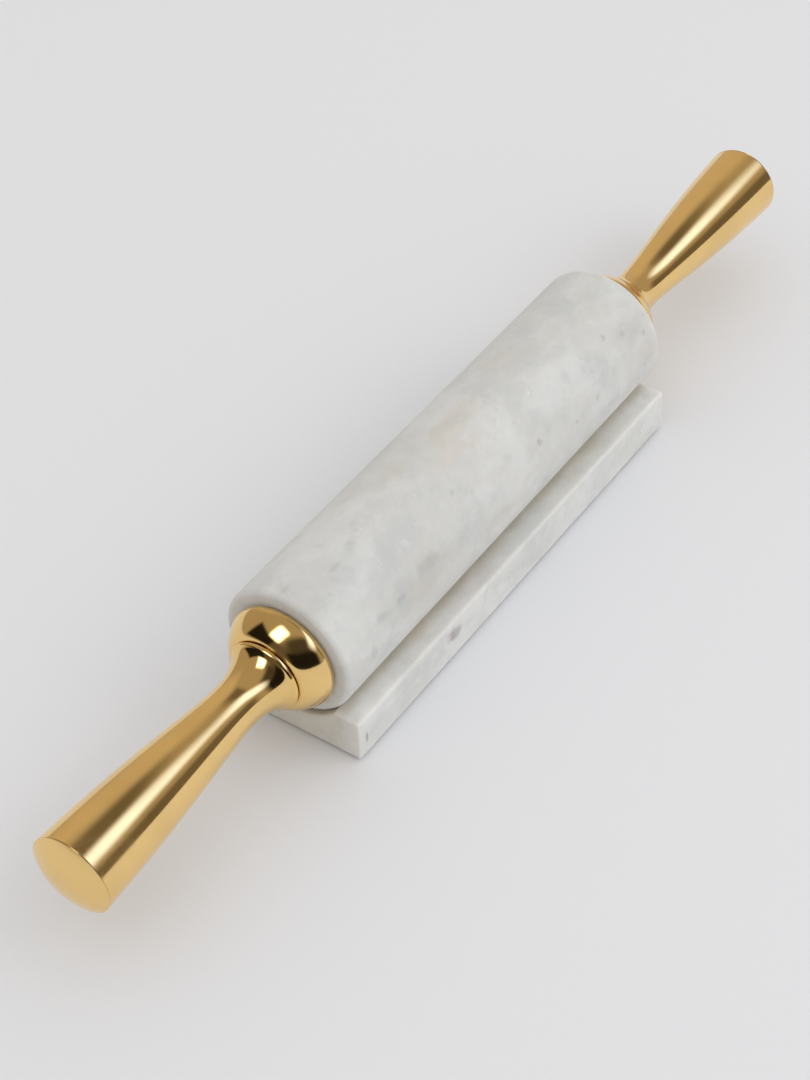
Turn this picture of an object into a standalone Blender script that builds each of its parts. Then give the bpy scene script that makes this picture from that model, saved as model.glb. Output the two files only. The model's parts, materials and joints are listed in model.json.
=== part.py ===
"""Marble rolling pin with turned brass handles, lying in its marble cradle stand.

Metres, +Z up. The pin's axis runs along X. The stand rests on z = 0, and the origin is
under the middle of the pin. Each end of the pin is built from the same outlines, once
towards -X and once towards +X.
"""
import math

import bmesh
import bpy
from mathutils import Vector
from mathutils.geometry import interpolate_bezier

# ---------------------------------------------------------------- driving dimensions
# Gaps
FIT_GAP = 0.0003          # between pieces that touch or are fixed to each other
RUNNING_GAP = 0.0003      # between the axle and what turns on it
TURNING_CLEARANCE = 0.0008  # between the nut or washer and the collar that turns around it

# Marble roller
ROLLER_RADIUS = 0.0270
ROLLER_LENGTH = 0.2145
ROLLER_EDGE_ROUND = 0.0023
ROLLER_BORE_RADIUS = 0.0065
COUNTERBORE_RADIUS = 0.0130

# Axle, bushes, washers and nuts
AXLE_RADIUS = 0.0040
AXLE_CHAMFER = 0.0006
AXLE_ENGAGEMENT = 0.0320  # how far the axle reaches past the handle's base
BUSH_LENGTH = 0.0100
WASHER_RADIUS = 0.0080
WASHER_THICKNESS = 0.0016
NUT_FLATS = 0.0130        # across flats
NUT_THICKNESS = 0.0065

# Bell collar
COLLAR_RADIUS = 0.0216    # widest
COLLAR_BULGE = 0.0022     # from the seat on the marble to the widest place
COLLAR_SEAT_RADIUS = 0.0198
COLLAR_DEPTH = 0.0122
COLLAR_NOSE_RADIUS = 0.0149
COLLAR_CREST_REACH = 0.0034  # how far the front's curve runs level from the widest place
COLLAR_NOSE_REACH = 0.0024   # how far it runs square to the axis at the nose
SPIGOT_LENGTH = 0.0080

# Handle grip, measured from its base outwards
GRIP_LENGTH = 0.10375
GRIP_WALL = 0.0020
BASE_RADIUS = 0.0146
BASE_BAND = 0.0016        # straight band at the base
FLARE_REACH = 0.0016      # how far the flare's curve pulls out from the band
FLARE_DROP = 0.0030       # how far it pulls in
WAIST_POSITION = 0.0175
WAIST_RADIUS = 0.0093
WAIST_REACH_IN = 0.0080   # length of the curve's pull on each side of the waist
WAIST_REACH_OUT = 0.0140
SWELL_POSITION = 0.0540
SWELL_RADIUS = 0.0142
RIM_RADIUS = 0.0161

# End cap and insert
DOME_HEIGHT = 0.0044
CAP_SPIGOT = 0.0040
CAP_WALL = 0.0022
INSERT_EXTRA = 0.0020     # how far the insert reaches past the axle's end

# Stand
STAND_LENGTH = 0.2135
STAND_WIDTH = 0.0578
STAND_BLOCK_HEIGHT = 0.0182
STAND_FLOOR = 0.0097      # marble left below the groove
STAND_SHIFT = -0.0021     # the stand's middle, along X
STAND_OFFSET = -0.0021    # the stand's middle, along Y: its groove is cut nearer the back
STAND_ARRIS = 0.0013
GROOVE_PLAY = 0.0008      # groove radius beyond the roller's
SEAT_GAP = 0.0003         # under the roller
FOOT_RADIUS = 0.0060
FOOT_HEIGHT = 0.0008
FOOT_INSET = 0.0130       # foot's middle from the stand's sides and ends

# Facets
FINE_SEGMENTS = 48
COARSE_SEGMENTS = 32
SHARP_ANGLE = math.radians(32)

# ------------------------------------------------------------------- worked out sizes
ROLLER_END = ROLLER_LENGTH / 2
NUT_CORNER_RADIUS = NUT_FLATS / 2 / math.cos(math.radians(30))
COLLAR_BORE_RADIUS = max(WASHER_RADIUS, NUT_CORNER_RADIUS) + TURNING_CLEARANCE
COUNTERBORE_FIT_RADIUS = COUNTERBORE_RADIUS - FIT_GAP
AXLE_HOLE_RADIUS = AXLE_RADIUS + RUNNING_GAP

# Stations along the axis, from the middle of the roller outwards
COUNTERBORE_FLOOR = ROLLER_END - SPIGOT_LENGTH - BUSH_LENGTH - 2 * FIT_GAP
BUSH_START = COUNTERBORE_FLOOR + FIT_GAP
BUSH_END = BUSH_START + BUSH_LENGTH
WASHER_START = BUSH_END + FIT_GAP
WASHER_END = WASHER_START + WASHER_THICKNESS
NUT_START = WASHER_END + FIT_GAP
COLLAR_START = ROLLER_END + FIT_GAP
COLLAR_END = COLLAR_START + COLLAR_DEPTH
GRIP_START = COLLAR_END + FIT_GAP
GRIP_END = GRIP_START + GRIP_LENGTH
CAP_START = GRIP_END + FIT_GAP
AXLE_END = GRIP_START + AXLE_ENGAGEMENT
INSERT_START = GRIP_START + FIT_GAP
INSERT_END = AXLE_END + INSERT_EXTRA

# Heights
BLOCK_BOTTOM = FOOT_HEIGHT + FIT_GAP
GROOVE_FLOOR = BLOCK_BOTTOM + STAND_FLOOR
AXIS_HEIGHT = GROOVE_FLOOR + SEAT_GAP + ROLLER_RADIUS
GROOVE_RADIUS = ROLLER_RADIUS + GROOVE_PLAY
GROOVE_AXIS_HEIGHT = GROOVE_FLOOR + GROOVE_RADIUS

ENDS = {"left": -1, "right": 1}


# -------------------------------------------------------------------------- materials
def make_material(name, colour, roughness, metallic=0.0):
    """A Principled material with one colour, roughness and metallic value."""
    material = bpy.data.materials.new(name)
    material.use_nodes = True
    shader = material.node_tree.nodes["Principled BSDF"]
    shader.inputs["Base Color"].default_value = (*colour, 1.0)
    shader.inputs["Roughness"].default_value = roughness
    shader.inputs["Metallic"].default_value = metallic
    return material


def make_materials():
    """The object's finishes, by name."""
    return {
        "marble": make_material("white_marble", (0.70, 0.70, 0.67), 0.38),
        "brass": make_material("polished_brass", (0.80, 0.54, 0.22), 0.12, 1.0),
        "steel": make_material("zinc_steel", (0.56, 0.57, 0.58), 0.35, 1.0),
        "nylon": make_material("natural_nylon", (0.78, 0.76, 0.70), 0.50),
        "pad": make_material("clear_grey_pad", (0.30, 0.30, 0.29), 0.70),
    }


# -------------------------------------------------------------------- modelling helpers
def finish_mesh(builder, name):
    """Turn a bmesh into a mesh with outward faces, smooth with sharp corners."""
    bmesh.ops.recalc_face_normals(builder, faces=builder.faces)
    mesh = bpy.data.meshes.new(name)
    builder.to_mesh(mesh)
    builder.free()
    mesh.shade_smooth()
    mesh.set_sharp_from_angle(angle=SHARP_ANGLE)
    return mesh


def add_object(name, mesh, material, parent):
    """Put a mesh into the scene as one named sub-part."""
    mesh.materials.append(material)
    node = bpy.data.objects.new(name, mesh)
    bpy.context.collection.objects.link(node)
    node.parent = parent
    return node


def turned_mesh(name, outline, segments, closed):
    """Spin an outline of (along, radius) points about the local Z axis."""
    builder = bmesh.new()
    points = [builder.verts.new((radius, 0.0, along)) for along, radius in outline]
    edges = [builder.edges.new(pair) for pair in zip(points, points[1:])]
    if closed:
        edges.append(builder.edges.new((points[-1], points[0])))
    bmesh.ops.spin(
        builder,
        geom=points + edges,
        axis=(0.0, 0.0, 1.0),
        cent=(0.0, 0.0, 0.0),
        angle=math.tau,
        steps=segments,
        use_merge=True,
        use_duplicate=False,
    )
    bmesh.ops.remove_doubles(builder, verts=builder.verts, dist=0.000001)
    return finish_mesh(builder, name)


def face_along_x(node, side):
    """Turn a piece made along +Z to point towards +X or -X on the pin's axis."""
    node.rotation_euler = (0.0, side * math.pi / 2, 0.0)


def arc(centre, radii, start, end, steps):
    """Points on an ellipse about (along, radius) centre, angles in degrees from +along."""
    points = []
    for step in range(steps + 1):
        angle = math.radians(start + (end - start) * step / steps)
        along = centre[0] + radii[0] * math.cos(angle)
        radius = centre[1] + radii[1] * math.sin(angle)
        points.append((along, radius))
    return points


def bezier(first, first_pull, last_pull, last, steps):
    """Points on a Bezier curve between (along, radius) points."""
    corners = [Vector((*point, 0.0)) for point in (first, first_pull, last_pull, last)]
    return [(point.x, point.y) for point in interpolate_bezier(*corners, steps + 1)]


def cut(node, cutter):
    """Cut one object with another, which stays hidden."""
    cutter.hide_render = True
    cutter.display_type = "WIRE"
    modifier = node.modifiers.new("Cut", "BOOLEAN")
    modifier.operation = "DIFFERENCE"
    modifier.solver = "EXACT"
    modifier.object = cutter


# --------------------------------------------------------------------------- the roller
def make_roller(materials, parent):
    """Bored marble cylinder, counterbored at both ends, with rounded outer edges."""
    half = []
    round_centre = (ROLLER_END - ROLLER_EDGE_ROUND, ROLLER_RADIUS - ROLLER_EDGE_ROUND)
    round_radii = (ROLLER_EDGE_ROUND, ROLLER_EDGE_ROUND)
    half += arc(round_centre, round_radii, 90, 0, 4)
    half += [
        (ROLLER_END, COUNTERBORE_RADIUS),
        (COUNTERBORE_FLOOR, COUNTERBORE_RADIUS),
        (COUNTERBORE_FLOOR, ROLLER_BORE_RADIUS),
    ]
    mirrored = [(-along, radius) for along, radius in reversed(half)]
    mesh = turned_mesh("marble_roller", half + mirrored, FINE_SEGMENTS, closed=True)
    roller = add_object("marble_roller", mesh, materials["marble"], parent)
    face_along_x(roller, 1)


def collar_outline():
    """Bell collar with the spigot that is fixed in the marble's counterbore."""
    seat = (COLLAR_START, COLLAR_SEAT_RADIUS)
    widest = (COLLAR_START + COLLAR_BULGE, COLLAR_RADIUS)
    back_radii = (COLLAR_BULGE, COLLAR_RADIUS - COLLAR_SEAT_RADIUS)
    back = arc((widest[0], seat[1]), back_radii, 180, 90, 3)
    crest_pull = (widest[0] + COLLAR_CREST_REACH, COLLAR_RADIUS)
    nose_pull = (COLLAR_END, COLLAR_NOSE_RADIUS + COLLAR_NOSE_REACH)
    nose = (COLLAR_END, COLLAR_NOSE_RADIUS)
    front = bezier(widest, crest_pull, nose_pull, nose, 6)
    inside = [
        (COLLAR_END, COLLAR_BORE_RADIUS),
        (ROLLER_END - SPIGOT_LENGTH, COLLAR_BORE_RADIUS),
        (ROLLER_END - SPIGOT_LENGTH, COUNTERBORE_FIT_RADIUS),
        (COLLAR_START, COUNTERBORE_FIT_RADIUS),
    ]
    return back + front[1:] + inside


def ring_outline(start, end, outer_radius, inner_radius):
    """A plain ring."""
    return [
        (start, outer_radius),
        (end, outer_radius),
        (end, inner_radius),
        (start, inner_radius),
    ]


# ---------------------------------------------------------------------------- the core
def make_axle(materials, parent):
    """Steel rod that holds the two handles, with chamfered ends."""
    outline = [
        (-AXLE_END, 0.0),
        (-AXLE_END, AXLE_RADIUS - AXLE_CHAMFER),
        (-AXLE_END + AXLE_CHAMFER, AXLE_RADIUS),
        (AXLE_END - AXLE_CHAMFER, AXLE_RADIUS),
        (AXLE_END, AXLE_RADIUS - AXLE_CHAMFER),
        (AXLE_END, 0.0),
    ]
    mesh = turned_mesh("axle_rod", outline, COARSE_SEGMENTS, closed=False)
    axle = add_object("axle_rod", mesh, materials["steel"], parent)
    face_along_x(axle, 1)


def make_lock_nut(name, side, materials, parent):
    """Hexagon nut, bored to pass the axle."""
    builder = bmesh.new()
    bmesh.ops.create_cone(
        builder,
        cap_ends=True,
        segments=6,
        radius1=NUT_CORNER_RADIUS,
        radius2=NUT_CORNER_RADIUS,
        depth=NUT_THICKNESS,
    )
    middle = Vector((0.0, 0.0, NUT_START + NUT_THICKNESS / 2))
    bmesh.ops.translate(builder, verts=builder.verts, vec=middle)
    nut = add_object(name, finish_mesh(builder, name), materials["steel"], parent)
    face_along_x(nut, side)

    builder = bmesh.new()
    bmesh.ops.create_cone(
        builder,
        cap_ends=True,
        segments=COARSE_SEGMENTS,
        radius1=AXLE_HOLE_RADIUS,
        radius2=AXLE_HOLE_RADIUS,
        depth=2 * NUT_THICKNESS,
    )
    bmesh.ops.translate(builder, verts=builder.verts, vec=middle)
    bore_name = name + "_bore"
    bore = add_object(bore_name, finish_mesh(builder, bore_name), materials["steel"], parent)
    face_along_x(bore, side)
    cut(nut, bore)


def grip_curve():
    """Outside of the grip, from the base band over the waist to the rim."""
    band_end = (BASE_BAND, BASE_RADIUS)
    flare_pull = (BASE_BAND + FLARE_REACH, BASE_RADIUS - FLARE_DROP)
    waist = (WAIST_POSITION, WAIST_RADIUS)
    waist_in = (WAIST_POSITION - WAIST_REACH_IN, WAIST_RADIUS)
    waist_out = (WAIST_POSITION + WAIST_REACH_OUT, WAIST_RADIUS)
    swell = (SWELL_POSITION, SWELL_RADIUS)
    rim = (GRIP_LENGTH, RIM_RADIUS)
    flare = bezier(band_end, flare_pull, waist_in, waist, 5)
    swelling = bezier(waist, waist_out, swell, rim, 8)
    return [(0.0, BASE_RADIUS)] + flare + swelling[1:]


def grip_radius(along):
    """Outer radius of the grip at a place along it."""
    curve = grip_curve()
    for (start, first), (end, last) in zip(curve, curve[1:]):
        if start <= along <= end:
            return first + (last - first) * (along - start) / (end - start)
    return RIM_RADIUS


def grip_outline():
    """Tapered grip shell of even wall, open at the base and at the wide end."""
    outside = [(GRIP_START + along, radius) for along, radius in grip_curve()]
    inside = [(along, radius - GRIP_WALL) for along, radius in reversed(outside)]
    return outside + inside


def insert_outline():
    """Flanged sleeve in the neck that the axle screws into."""
    flange_radius = BASE_RADIUS - GRIP_WALL - FIT_GAP
    barrel_radius = WAIST_RADIUS - GRIP_WALL - FIT_GAP
    flange_end = GRIP_START + BASE_BAND - FIT_GAP
    return [
        (INSERT_START, flange_radius),
        (flange_end, flange_radius),
        (flange_end, barrel_radius),
        (INSERT_END, barrel_radius),
        (INSERT_END, AXLE_HOLE_RADIUS),
        (INSERT_START, AXLE_HOLE_RADIUS),
    ]


def cap_outline():
    """Domed cap with a hollow spigot that fits the grip's wide end."""
    spigot_radius = grip_radius(GRIP_LENGTH - CAP_SPIGOT) - GRIP_WALL - FIT_GAP
    spigot_start = GRIP_END - CAP_SPIGOT
    recess_radius = spigot_radius - CAP_WALL
    ball_radius = (RIM_RADIUS**2 + DOME_HEIGHT**2) / (2 * DOME_HEIGHT)
    ball_centre = CAP_START + DOME_HEIGHT - ball_radius
    edge_angle = math.degrees(math.asin(RIM_RADIUS / ball_radius))
    dome = arc((ball_centre, 0.0), (ball_radius, ball_radius), edge_angle, 0, 5)
    return [
        (CAP_START, 0.0),
        (CAP_START, recess_radius),
        (spigot_start, recess_radius),
        (spigot_start, spigot_radius),
        (CAP_START, spigot_radius),
    ] + dome


# --------------------------------------------------------------------------- the stand
def make_stand(materials, parent):
    """Marble slab with softened edges and a round groove along it."""
    builder = bmesh.new()
    bmesh.ops.create_cube(builder, size=1.0)
    size = Vector((STAND_LENGTH, STAND_WIDTH, STAND_BLOCK_HEIGHT))
    bmesh.ops.scale(builder, verts=builder.verts, vec=size)
    bmesh.ops.bevel(
        builder,
        geom=builder.edges,
        offset=STAND_ARRIS,
        offset_type="OFFSET",
        segments=3,
        profile=0.5,
        affect="EDGES",
    )
    mesh = finish_mesh(builder, "marble_stand")
    stand = add_object("marble_stand", mesh, materials["marble"], parent)
    stand.location = (STAND_SHIFT, STAND_OFFSET, BLOCK_BOTTOM + STAND_BLOCK_HEIGHT / 2)

    builder = bmesh.new()
    bmesh.ops.create_cone(
        builder,
        cap_ends=True,
        segments=2 * FINE_SEGMENTS,
        radius1=GROOVE_RADIUS,
        radius2=GROOVE_RADIUS,
        depth=2 * STAND_LENGTH,
    )
    mesh = finish_mesh(builder, "groove_cutter")
    cutter = add_object("groove_cutter", mesh, materials["marble"], parent)
    cutter.location = (STAND_SHIFT, 0.0, GROOVE_AXIS_HEIGHT)
    face_along_x(cutter, 1)
    cut(stand, cutter)


def make_feet(materials, parent):
    """Four thin round pads under the stand's corners."""
    outline = [
        (0.0, 0.0),
        (0.0, FOOT_RADIUS),
        (FOOT_HEIGHT, FOOT_RADIUS),
        (FOOT_HEIGHT, 0.0),
    ]
    mesh = turned_mesh("stand_foot", outline, COARSE_SEGMENTS, closed=False)
    reach_x = STAND_LENGTH / 2 - FOOT_INSET
    reach_y = STAND_WIDTH / 2 - FOOT_INSET
    for end, side_x in ENDS.items():
        for edge, side_y in (("front", -1), ("back", 1)):
            foot = add_object(f"stand_foot_{end}_{edge}", mesh.copy(), materials["pad"], parent)
            foot.location = (STAND_SHIFT + side_x * reach_x, STAND_OFFSET + side_y * reach_y, 0.0)


# -------------------------------------------------------------------------- the assembly
def add_empty(name, height, parent=None):
    """An empty on the pin's axis, or on the floor, that a body's pieces hang from."""
    empty = bpy.data.objects.new(name, None)
    bpy.context.collection.objects.link(empty)
    empty.location = (0.0, 0.0, height)
    empty.parent = parent
    return empty


def main():
    """Clear the scene and build every sub-part."""
    for leftover in list(bpy.data.objects):
        bpy.data.objects.remove(leftover, do_unlink=True)
    materials = make_materials()
    base = add_empty("stand_body", 0.0)
    core = add_empty("core_body", AXIS_HEIGHT)
    spinner = add_empty("roller_body", 0.0, core)

    make_stand(materials, base)
    make_feet(materials, base)
    make_axle(materials, core)
    make_roller(materials, spinner)

    bush = ring_outline(BUSH_START, BUSH_END, COUNTERBORE_FIT_RADIUS, AXLE_HOLE_RADIUS)
    washer = ring_outline(WASHER_START, WASHER_END, WASHER_RADIUS, AXLE_HOLE_RADIUS)
    turned_pieces = (
        ("bell_collar", collar_outline(), FINE_SEGMENTS, "brass", spinner, True),
        ("nylon_bush", bush, COARSE_SEGMENTS, "nylon", spinner, True),
        ("thrust_washer", washer, COARSE_SEGMENTS, "steel", core, True),
        ("neck_insert", insert_outline(), COARSE_SEGMENTS, "steel", core, True),
        ("handle_grip", grip_outline(), FINE_SEGMENTS, "brass", core, True),
        ("end_cap", cap_outline(), FINE_SEGMENTS, "brass", core, False),
    )
    for end, side in ENDS.items():
        make_lock_nut(f"lock_nut_{end}", side, materials, core)
        for stem, outline, segments, finish, body, closed in turned_pieces:
            name = f"{stem}_{end}"
            mesh = turned_mesh(name, outline, segments, closed)
            piece = add_object(name, mesh, materials[finish], body)
            face_along_x(piece, side)


main()
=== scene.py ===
"""Marble rolling pin with polished brass handles, lying in its marble cradle stand.

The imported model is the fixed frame. Every turned or cut piece is made again here as a
fine mesh in the same place, dressed in a procedural finish, and set on a plain pale floor.
"""

from __future__ import annotations

import json
import logging
import math
from collections.abc import Callable, Sequence
from dataclasses import dataclass, field
from enum import Enum

import bmesh
import bpy
from mathutils import Matrix, Vector, noise
from mathutils.geometry import interpolate_bezier

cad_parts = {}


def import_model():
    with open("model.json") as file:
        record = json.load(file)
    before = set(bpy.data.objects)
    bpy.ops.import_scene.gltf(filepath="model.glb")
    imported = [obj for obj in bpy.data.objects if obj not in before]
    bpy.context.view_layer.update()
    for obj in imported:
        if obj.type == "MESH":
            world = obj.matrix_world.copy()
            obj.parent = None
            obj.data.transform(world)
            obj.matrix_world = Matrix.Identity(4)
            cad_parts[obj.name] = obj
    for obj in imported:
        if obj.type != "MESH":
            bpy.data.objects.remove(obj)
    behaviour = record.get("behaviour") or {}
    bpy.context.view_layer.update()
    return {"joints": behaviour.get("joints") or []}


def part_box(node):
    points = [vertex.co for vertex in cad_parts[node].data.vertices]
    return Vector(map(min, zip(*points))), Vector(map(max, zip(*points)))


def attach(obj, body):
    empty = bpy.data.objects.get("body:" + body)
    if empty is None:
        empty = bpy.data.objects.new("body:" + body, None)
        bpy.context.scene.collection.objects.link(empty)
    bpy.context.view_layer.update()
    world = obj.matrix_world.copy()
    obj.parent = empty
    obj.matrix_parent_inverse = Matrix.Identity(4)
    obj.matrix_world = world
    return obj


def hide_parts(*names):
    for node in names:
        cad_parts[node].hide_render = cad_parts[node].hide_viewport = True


LOG = logging.getLogger("rolling_pin")

Colour = tuple[float, float, float]
Point = tuple[float, float]
Socket = bpy.types.NodeSocket
Value = Socket | float | Sequence[float]

MILLIMETRE = 0.001
EDGE = 0.0003  # radius of a usual softened edge
ORIGIN = (0.0, 0.0, 0.0)
HALVES = (0.5, 0.5, 0.5)


class Side(Enum):
    """The two ends of the pin, with the sign of X that each points to."""

    LEFT = -1
    RIGHT = 1

    @property
    def word(self) -> str:
        """The side's word in node names."""
        return self.name.lower()


class Body(Enum):
    """The rigid bodies that pieces ride on."""

    STAND = "stand"
    CORE = "core"
    ROLLER = "roller"


class Slot(Enum):
    """The record's material slots."""

    ROLLER_MARBLE = "roller_marble"
    STAND_MARBLE = "stand_marble"
    BRASS = "polished_brass"
    STEEL = "steel"
    NYLON = "nylon"
    PAD = "foot_pad"


def tone(red: int, green: int, blue: int) -> Colour:
    """Turn a colour given as it looks, 0 to 255, into linear values.

    Args:
        red: Red as it looks on a screen.
        green: Green as it looks on a screen.
        blue: Blue as it looks on a screen.

    Returns:
        The linear colour that shaders take.
    """

    def linear(level: int) -> float:
        """Turn one level, 0 to 255, into a linear share."""
        share = level / 255
        return share / 12.92 if share <= 0.04045 else ((share + 0.055) / 1.055) ** 2.4

    return linear(red), linear(green), linear(blue)


@dataclass(frozen=True)
class Corner:
    """A corner of an outline, with the radius that softens it."""

    along: float  # distance along the axis
    out: float  # distance from the axis
    soften: float = 0.0  # radius of the fillet, or 0 for a point on a smooth curve


def curve(start: Point, start_pull: Point, end_pull: Point, end: Point, steps: int) -> list[Corner]:
    """Lay points along a Bezier curve.

    Args:
        start: First point.
        start_pull: Control point that the curve leaves towards.
        end_pull: Control point that the curve arrives from.
        end: Last point.
        steps: Number of stretches.

    Returns:
        The points, both ends included.
    """
    knots = [Vector((*point, 0.0)) for point in (start, start_pull, end_pull, end)]
    return [Corner(spot.x, spot.y) for spot in interpolate_bezier(*knots, steps + 1)]


def arc(centre: Point, radius: float, start: float, end: float, steps: int) -> list[Corner]:
    """Lay points along a circular arc.

    Args:
        centre: Centre of the circle.
        radius: Radius of the circle.
        start: First angle in degrees, from the direction along the axis.
        end: Last angle in degrees.
        steps: Number of stretches.

    Returns:
        The points, both ends included.
    """
    spots = []
    for step in range(steps + 1):
        angle = math.radians(start + (end - start) * step / steps)
        across = centre[1] + radius * math.sin(angle)
        spots.append(Corner(centre[0] + radius * math.cos(angle), max(across, 0.0)))
    return spots


def softened(outline: Sequence[Corner], closed: bool, steps: int = 5) -> list[Point]:
    """Replace each corner that has a radius by a short arc with a guard point on each side.

    Args:
        outline: The corners in order.
        closed: Whether the last corner joins the first.
        steps: Stretches in each arc.

    Returns:
        Plain points, ready to be turned or swept.
    """
    points: list[Point] = []
    count = len(outline)
    for index, corner in enumerate(outline):
        spot = Vector((corner.along, corner.out))
        at_end = not closed and index in (0, count - 1)
        if corner.soften <= 0 or at_end:
            points.append((spot.x, spot.y))
            continue
        before, after = outline[index - 1], outline[(index + 1) % count]
        back = (Vector((before.along, before.out)) - spot).normalized()
        ahead = (Vector((after.along, after.out)) - spot).normalized()
        half = back.angle(ahead) / 2
        pull = corner.soften / math.tan(half)
        centre = spot + (back + ahead).normalized() * corner.soften / math.sin(half)
        guard = pull + 0.4 * corner.soften
        first, last = spot + back * pull - centre, spot + ahead * pull - centre
        points.append(tuple(spot + back * guard))
        for step in range(steps + 1):
            ray = first.slerp(last, step / steps).normalized() * corner.soften
            points.append(tuple(centre + ray))
        points.append(tuple(spot + ahead * guard))
    return points


def mesh_from(name: str, vertices: Sequence[Vector], faces: Sequence[Sequence[int]]) -> bpy.types.Mesh:
    """Make a smooth closed mesh whose faces point out.

    Args:
        name: Name of the mesh.
        vertices: Places of the vertices, in metres.
        faces: Vertex numbers of each face.

    Returns:
        The mesh.
    """
    mesh = bpy.data.meshes.new(name)
    mesh.from_pydata([tuple(spot) for spot in vertices], [], faces)
    work = bmesh.new()
    work.from_mesh(mesh)
    bmesh.ops.remove_doubles(work, verts=work.verts, dist=0.002 * MILLIMETRE)
    bmesh.ops.recalc_face_normals(work, faces=work.faces)
    work.to_mesh(mesh)
    work.free()
    mesh.shade_smooth()
    return mesh


def linked(name: str, data: bpy.types.ID) -> bpy.types.Object:
    """Make an object and put it into the scene.

    Args:
        name: Its name.
        data: The mesh, light or camera that it holds.

    Returns:
        The new object.
    """
    thing = bpy.data.objects.new(name, data)
    bpy.context.scene.collection.objects.link(thing)
    return thing


def object_from(name: str, mesh: bpy.types.Mesh, material: bpy.types.Material) -> bpy.types.Object:
    """Put a mesh into the scene with its material.

    Args:
        name: Name of the piece.
        mesh: Its mesh.
        material: Its finish.

    Returns:
        The new object.
    """
    mesh.materials.append(material)
    return linked(name, mesh)


def ring_faces(rings: int, count: int, closed: bool) -> list[tuple[int, ...]]:
    """List the faces between rings of vertices that follow one another.

    Args:
        rings: Number of rings.
        count: Vertices in each ring.
        closed: Whether the last ring joins the first.

    Returns:
        Vertex numbers of each face.
    """
    faces = []
    for ring in range(rings if closed else rings - 1):
        here, there = ring * count, (ring + 1) % rings * count
        for index in range(count):
            following = (index + 1) % count
            faces.append((here + index, here + following, there + following, there + index))
    return faces


@dataclass(frozen=True)
class TurningAxis:
    """The pin's axis: everything turned is made around it."""

    height: float  # height of the axis above the floor
    across: float = 0.0  # place of the axis along Y

    def turn(
        self,
        name: str,
        points: Sequence[Point],
        side: Side,
        segments: int,
        closed: bool,
        wobble: Callable[[float, float, float], float] | None = None,
    ) -> bpy.types.Mesh:
        """Turn an outline around the axis.

        Args:
            name: Name of the mesh.
            points: Outline as (distance from the pin's middle, radius).
            side: The end that the outline's distances run towards.
            segments: Number of facets round the axis.
            closed: Whether the outline is a closed ring.
            wobble: Optional change of radius from (along, radius, angle).

        Returns:
            A closed mesh.
        """
        vertices: list[Vector] = []
        for along, out in points:
            for segment in range(segments):
                angle = math.tau * segment / segments
                radius = out + (wobble(along, out, angle) if wobble else 0.0)
                across = self.across + radius * math.cos(angle)
                up = self.height + radius * math.sin(angle)
                vertices.append(Vector((side.value * along, across, up)))
        return mesh_from(name, vertices, ring_faces(len(points), segments, closed))


@dataclass(frozen=True)
class Span:
    """Where a turned node lies along the pin's axis."""

    near: float  # distance of its inner end from the pin's middle
    far: float  # distance of its outer end
    radius: float  # its largest radius

    @classmethod
    def of(cls, node: str) -> Span:
        """Read a node's span from the frame.

        Args:
            node: Name of the CAD node.

        Returns:
            Its span, counted outwards from the middle.
        """
        low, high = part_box(node)
        if low.x * high.x < 0:
            return cls(0.0, high.x, (high.y - low.y) / 2)
        near, far = sorted((abs(low.x), abs(high.x)))
        return cls(near, far, (high.y - low.y) / 2)


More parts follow.
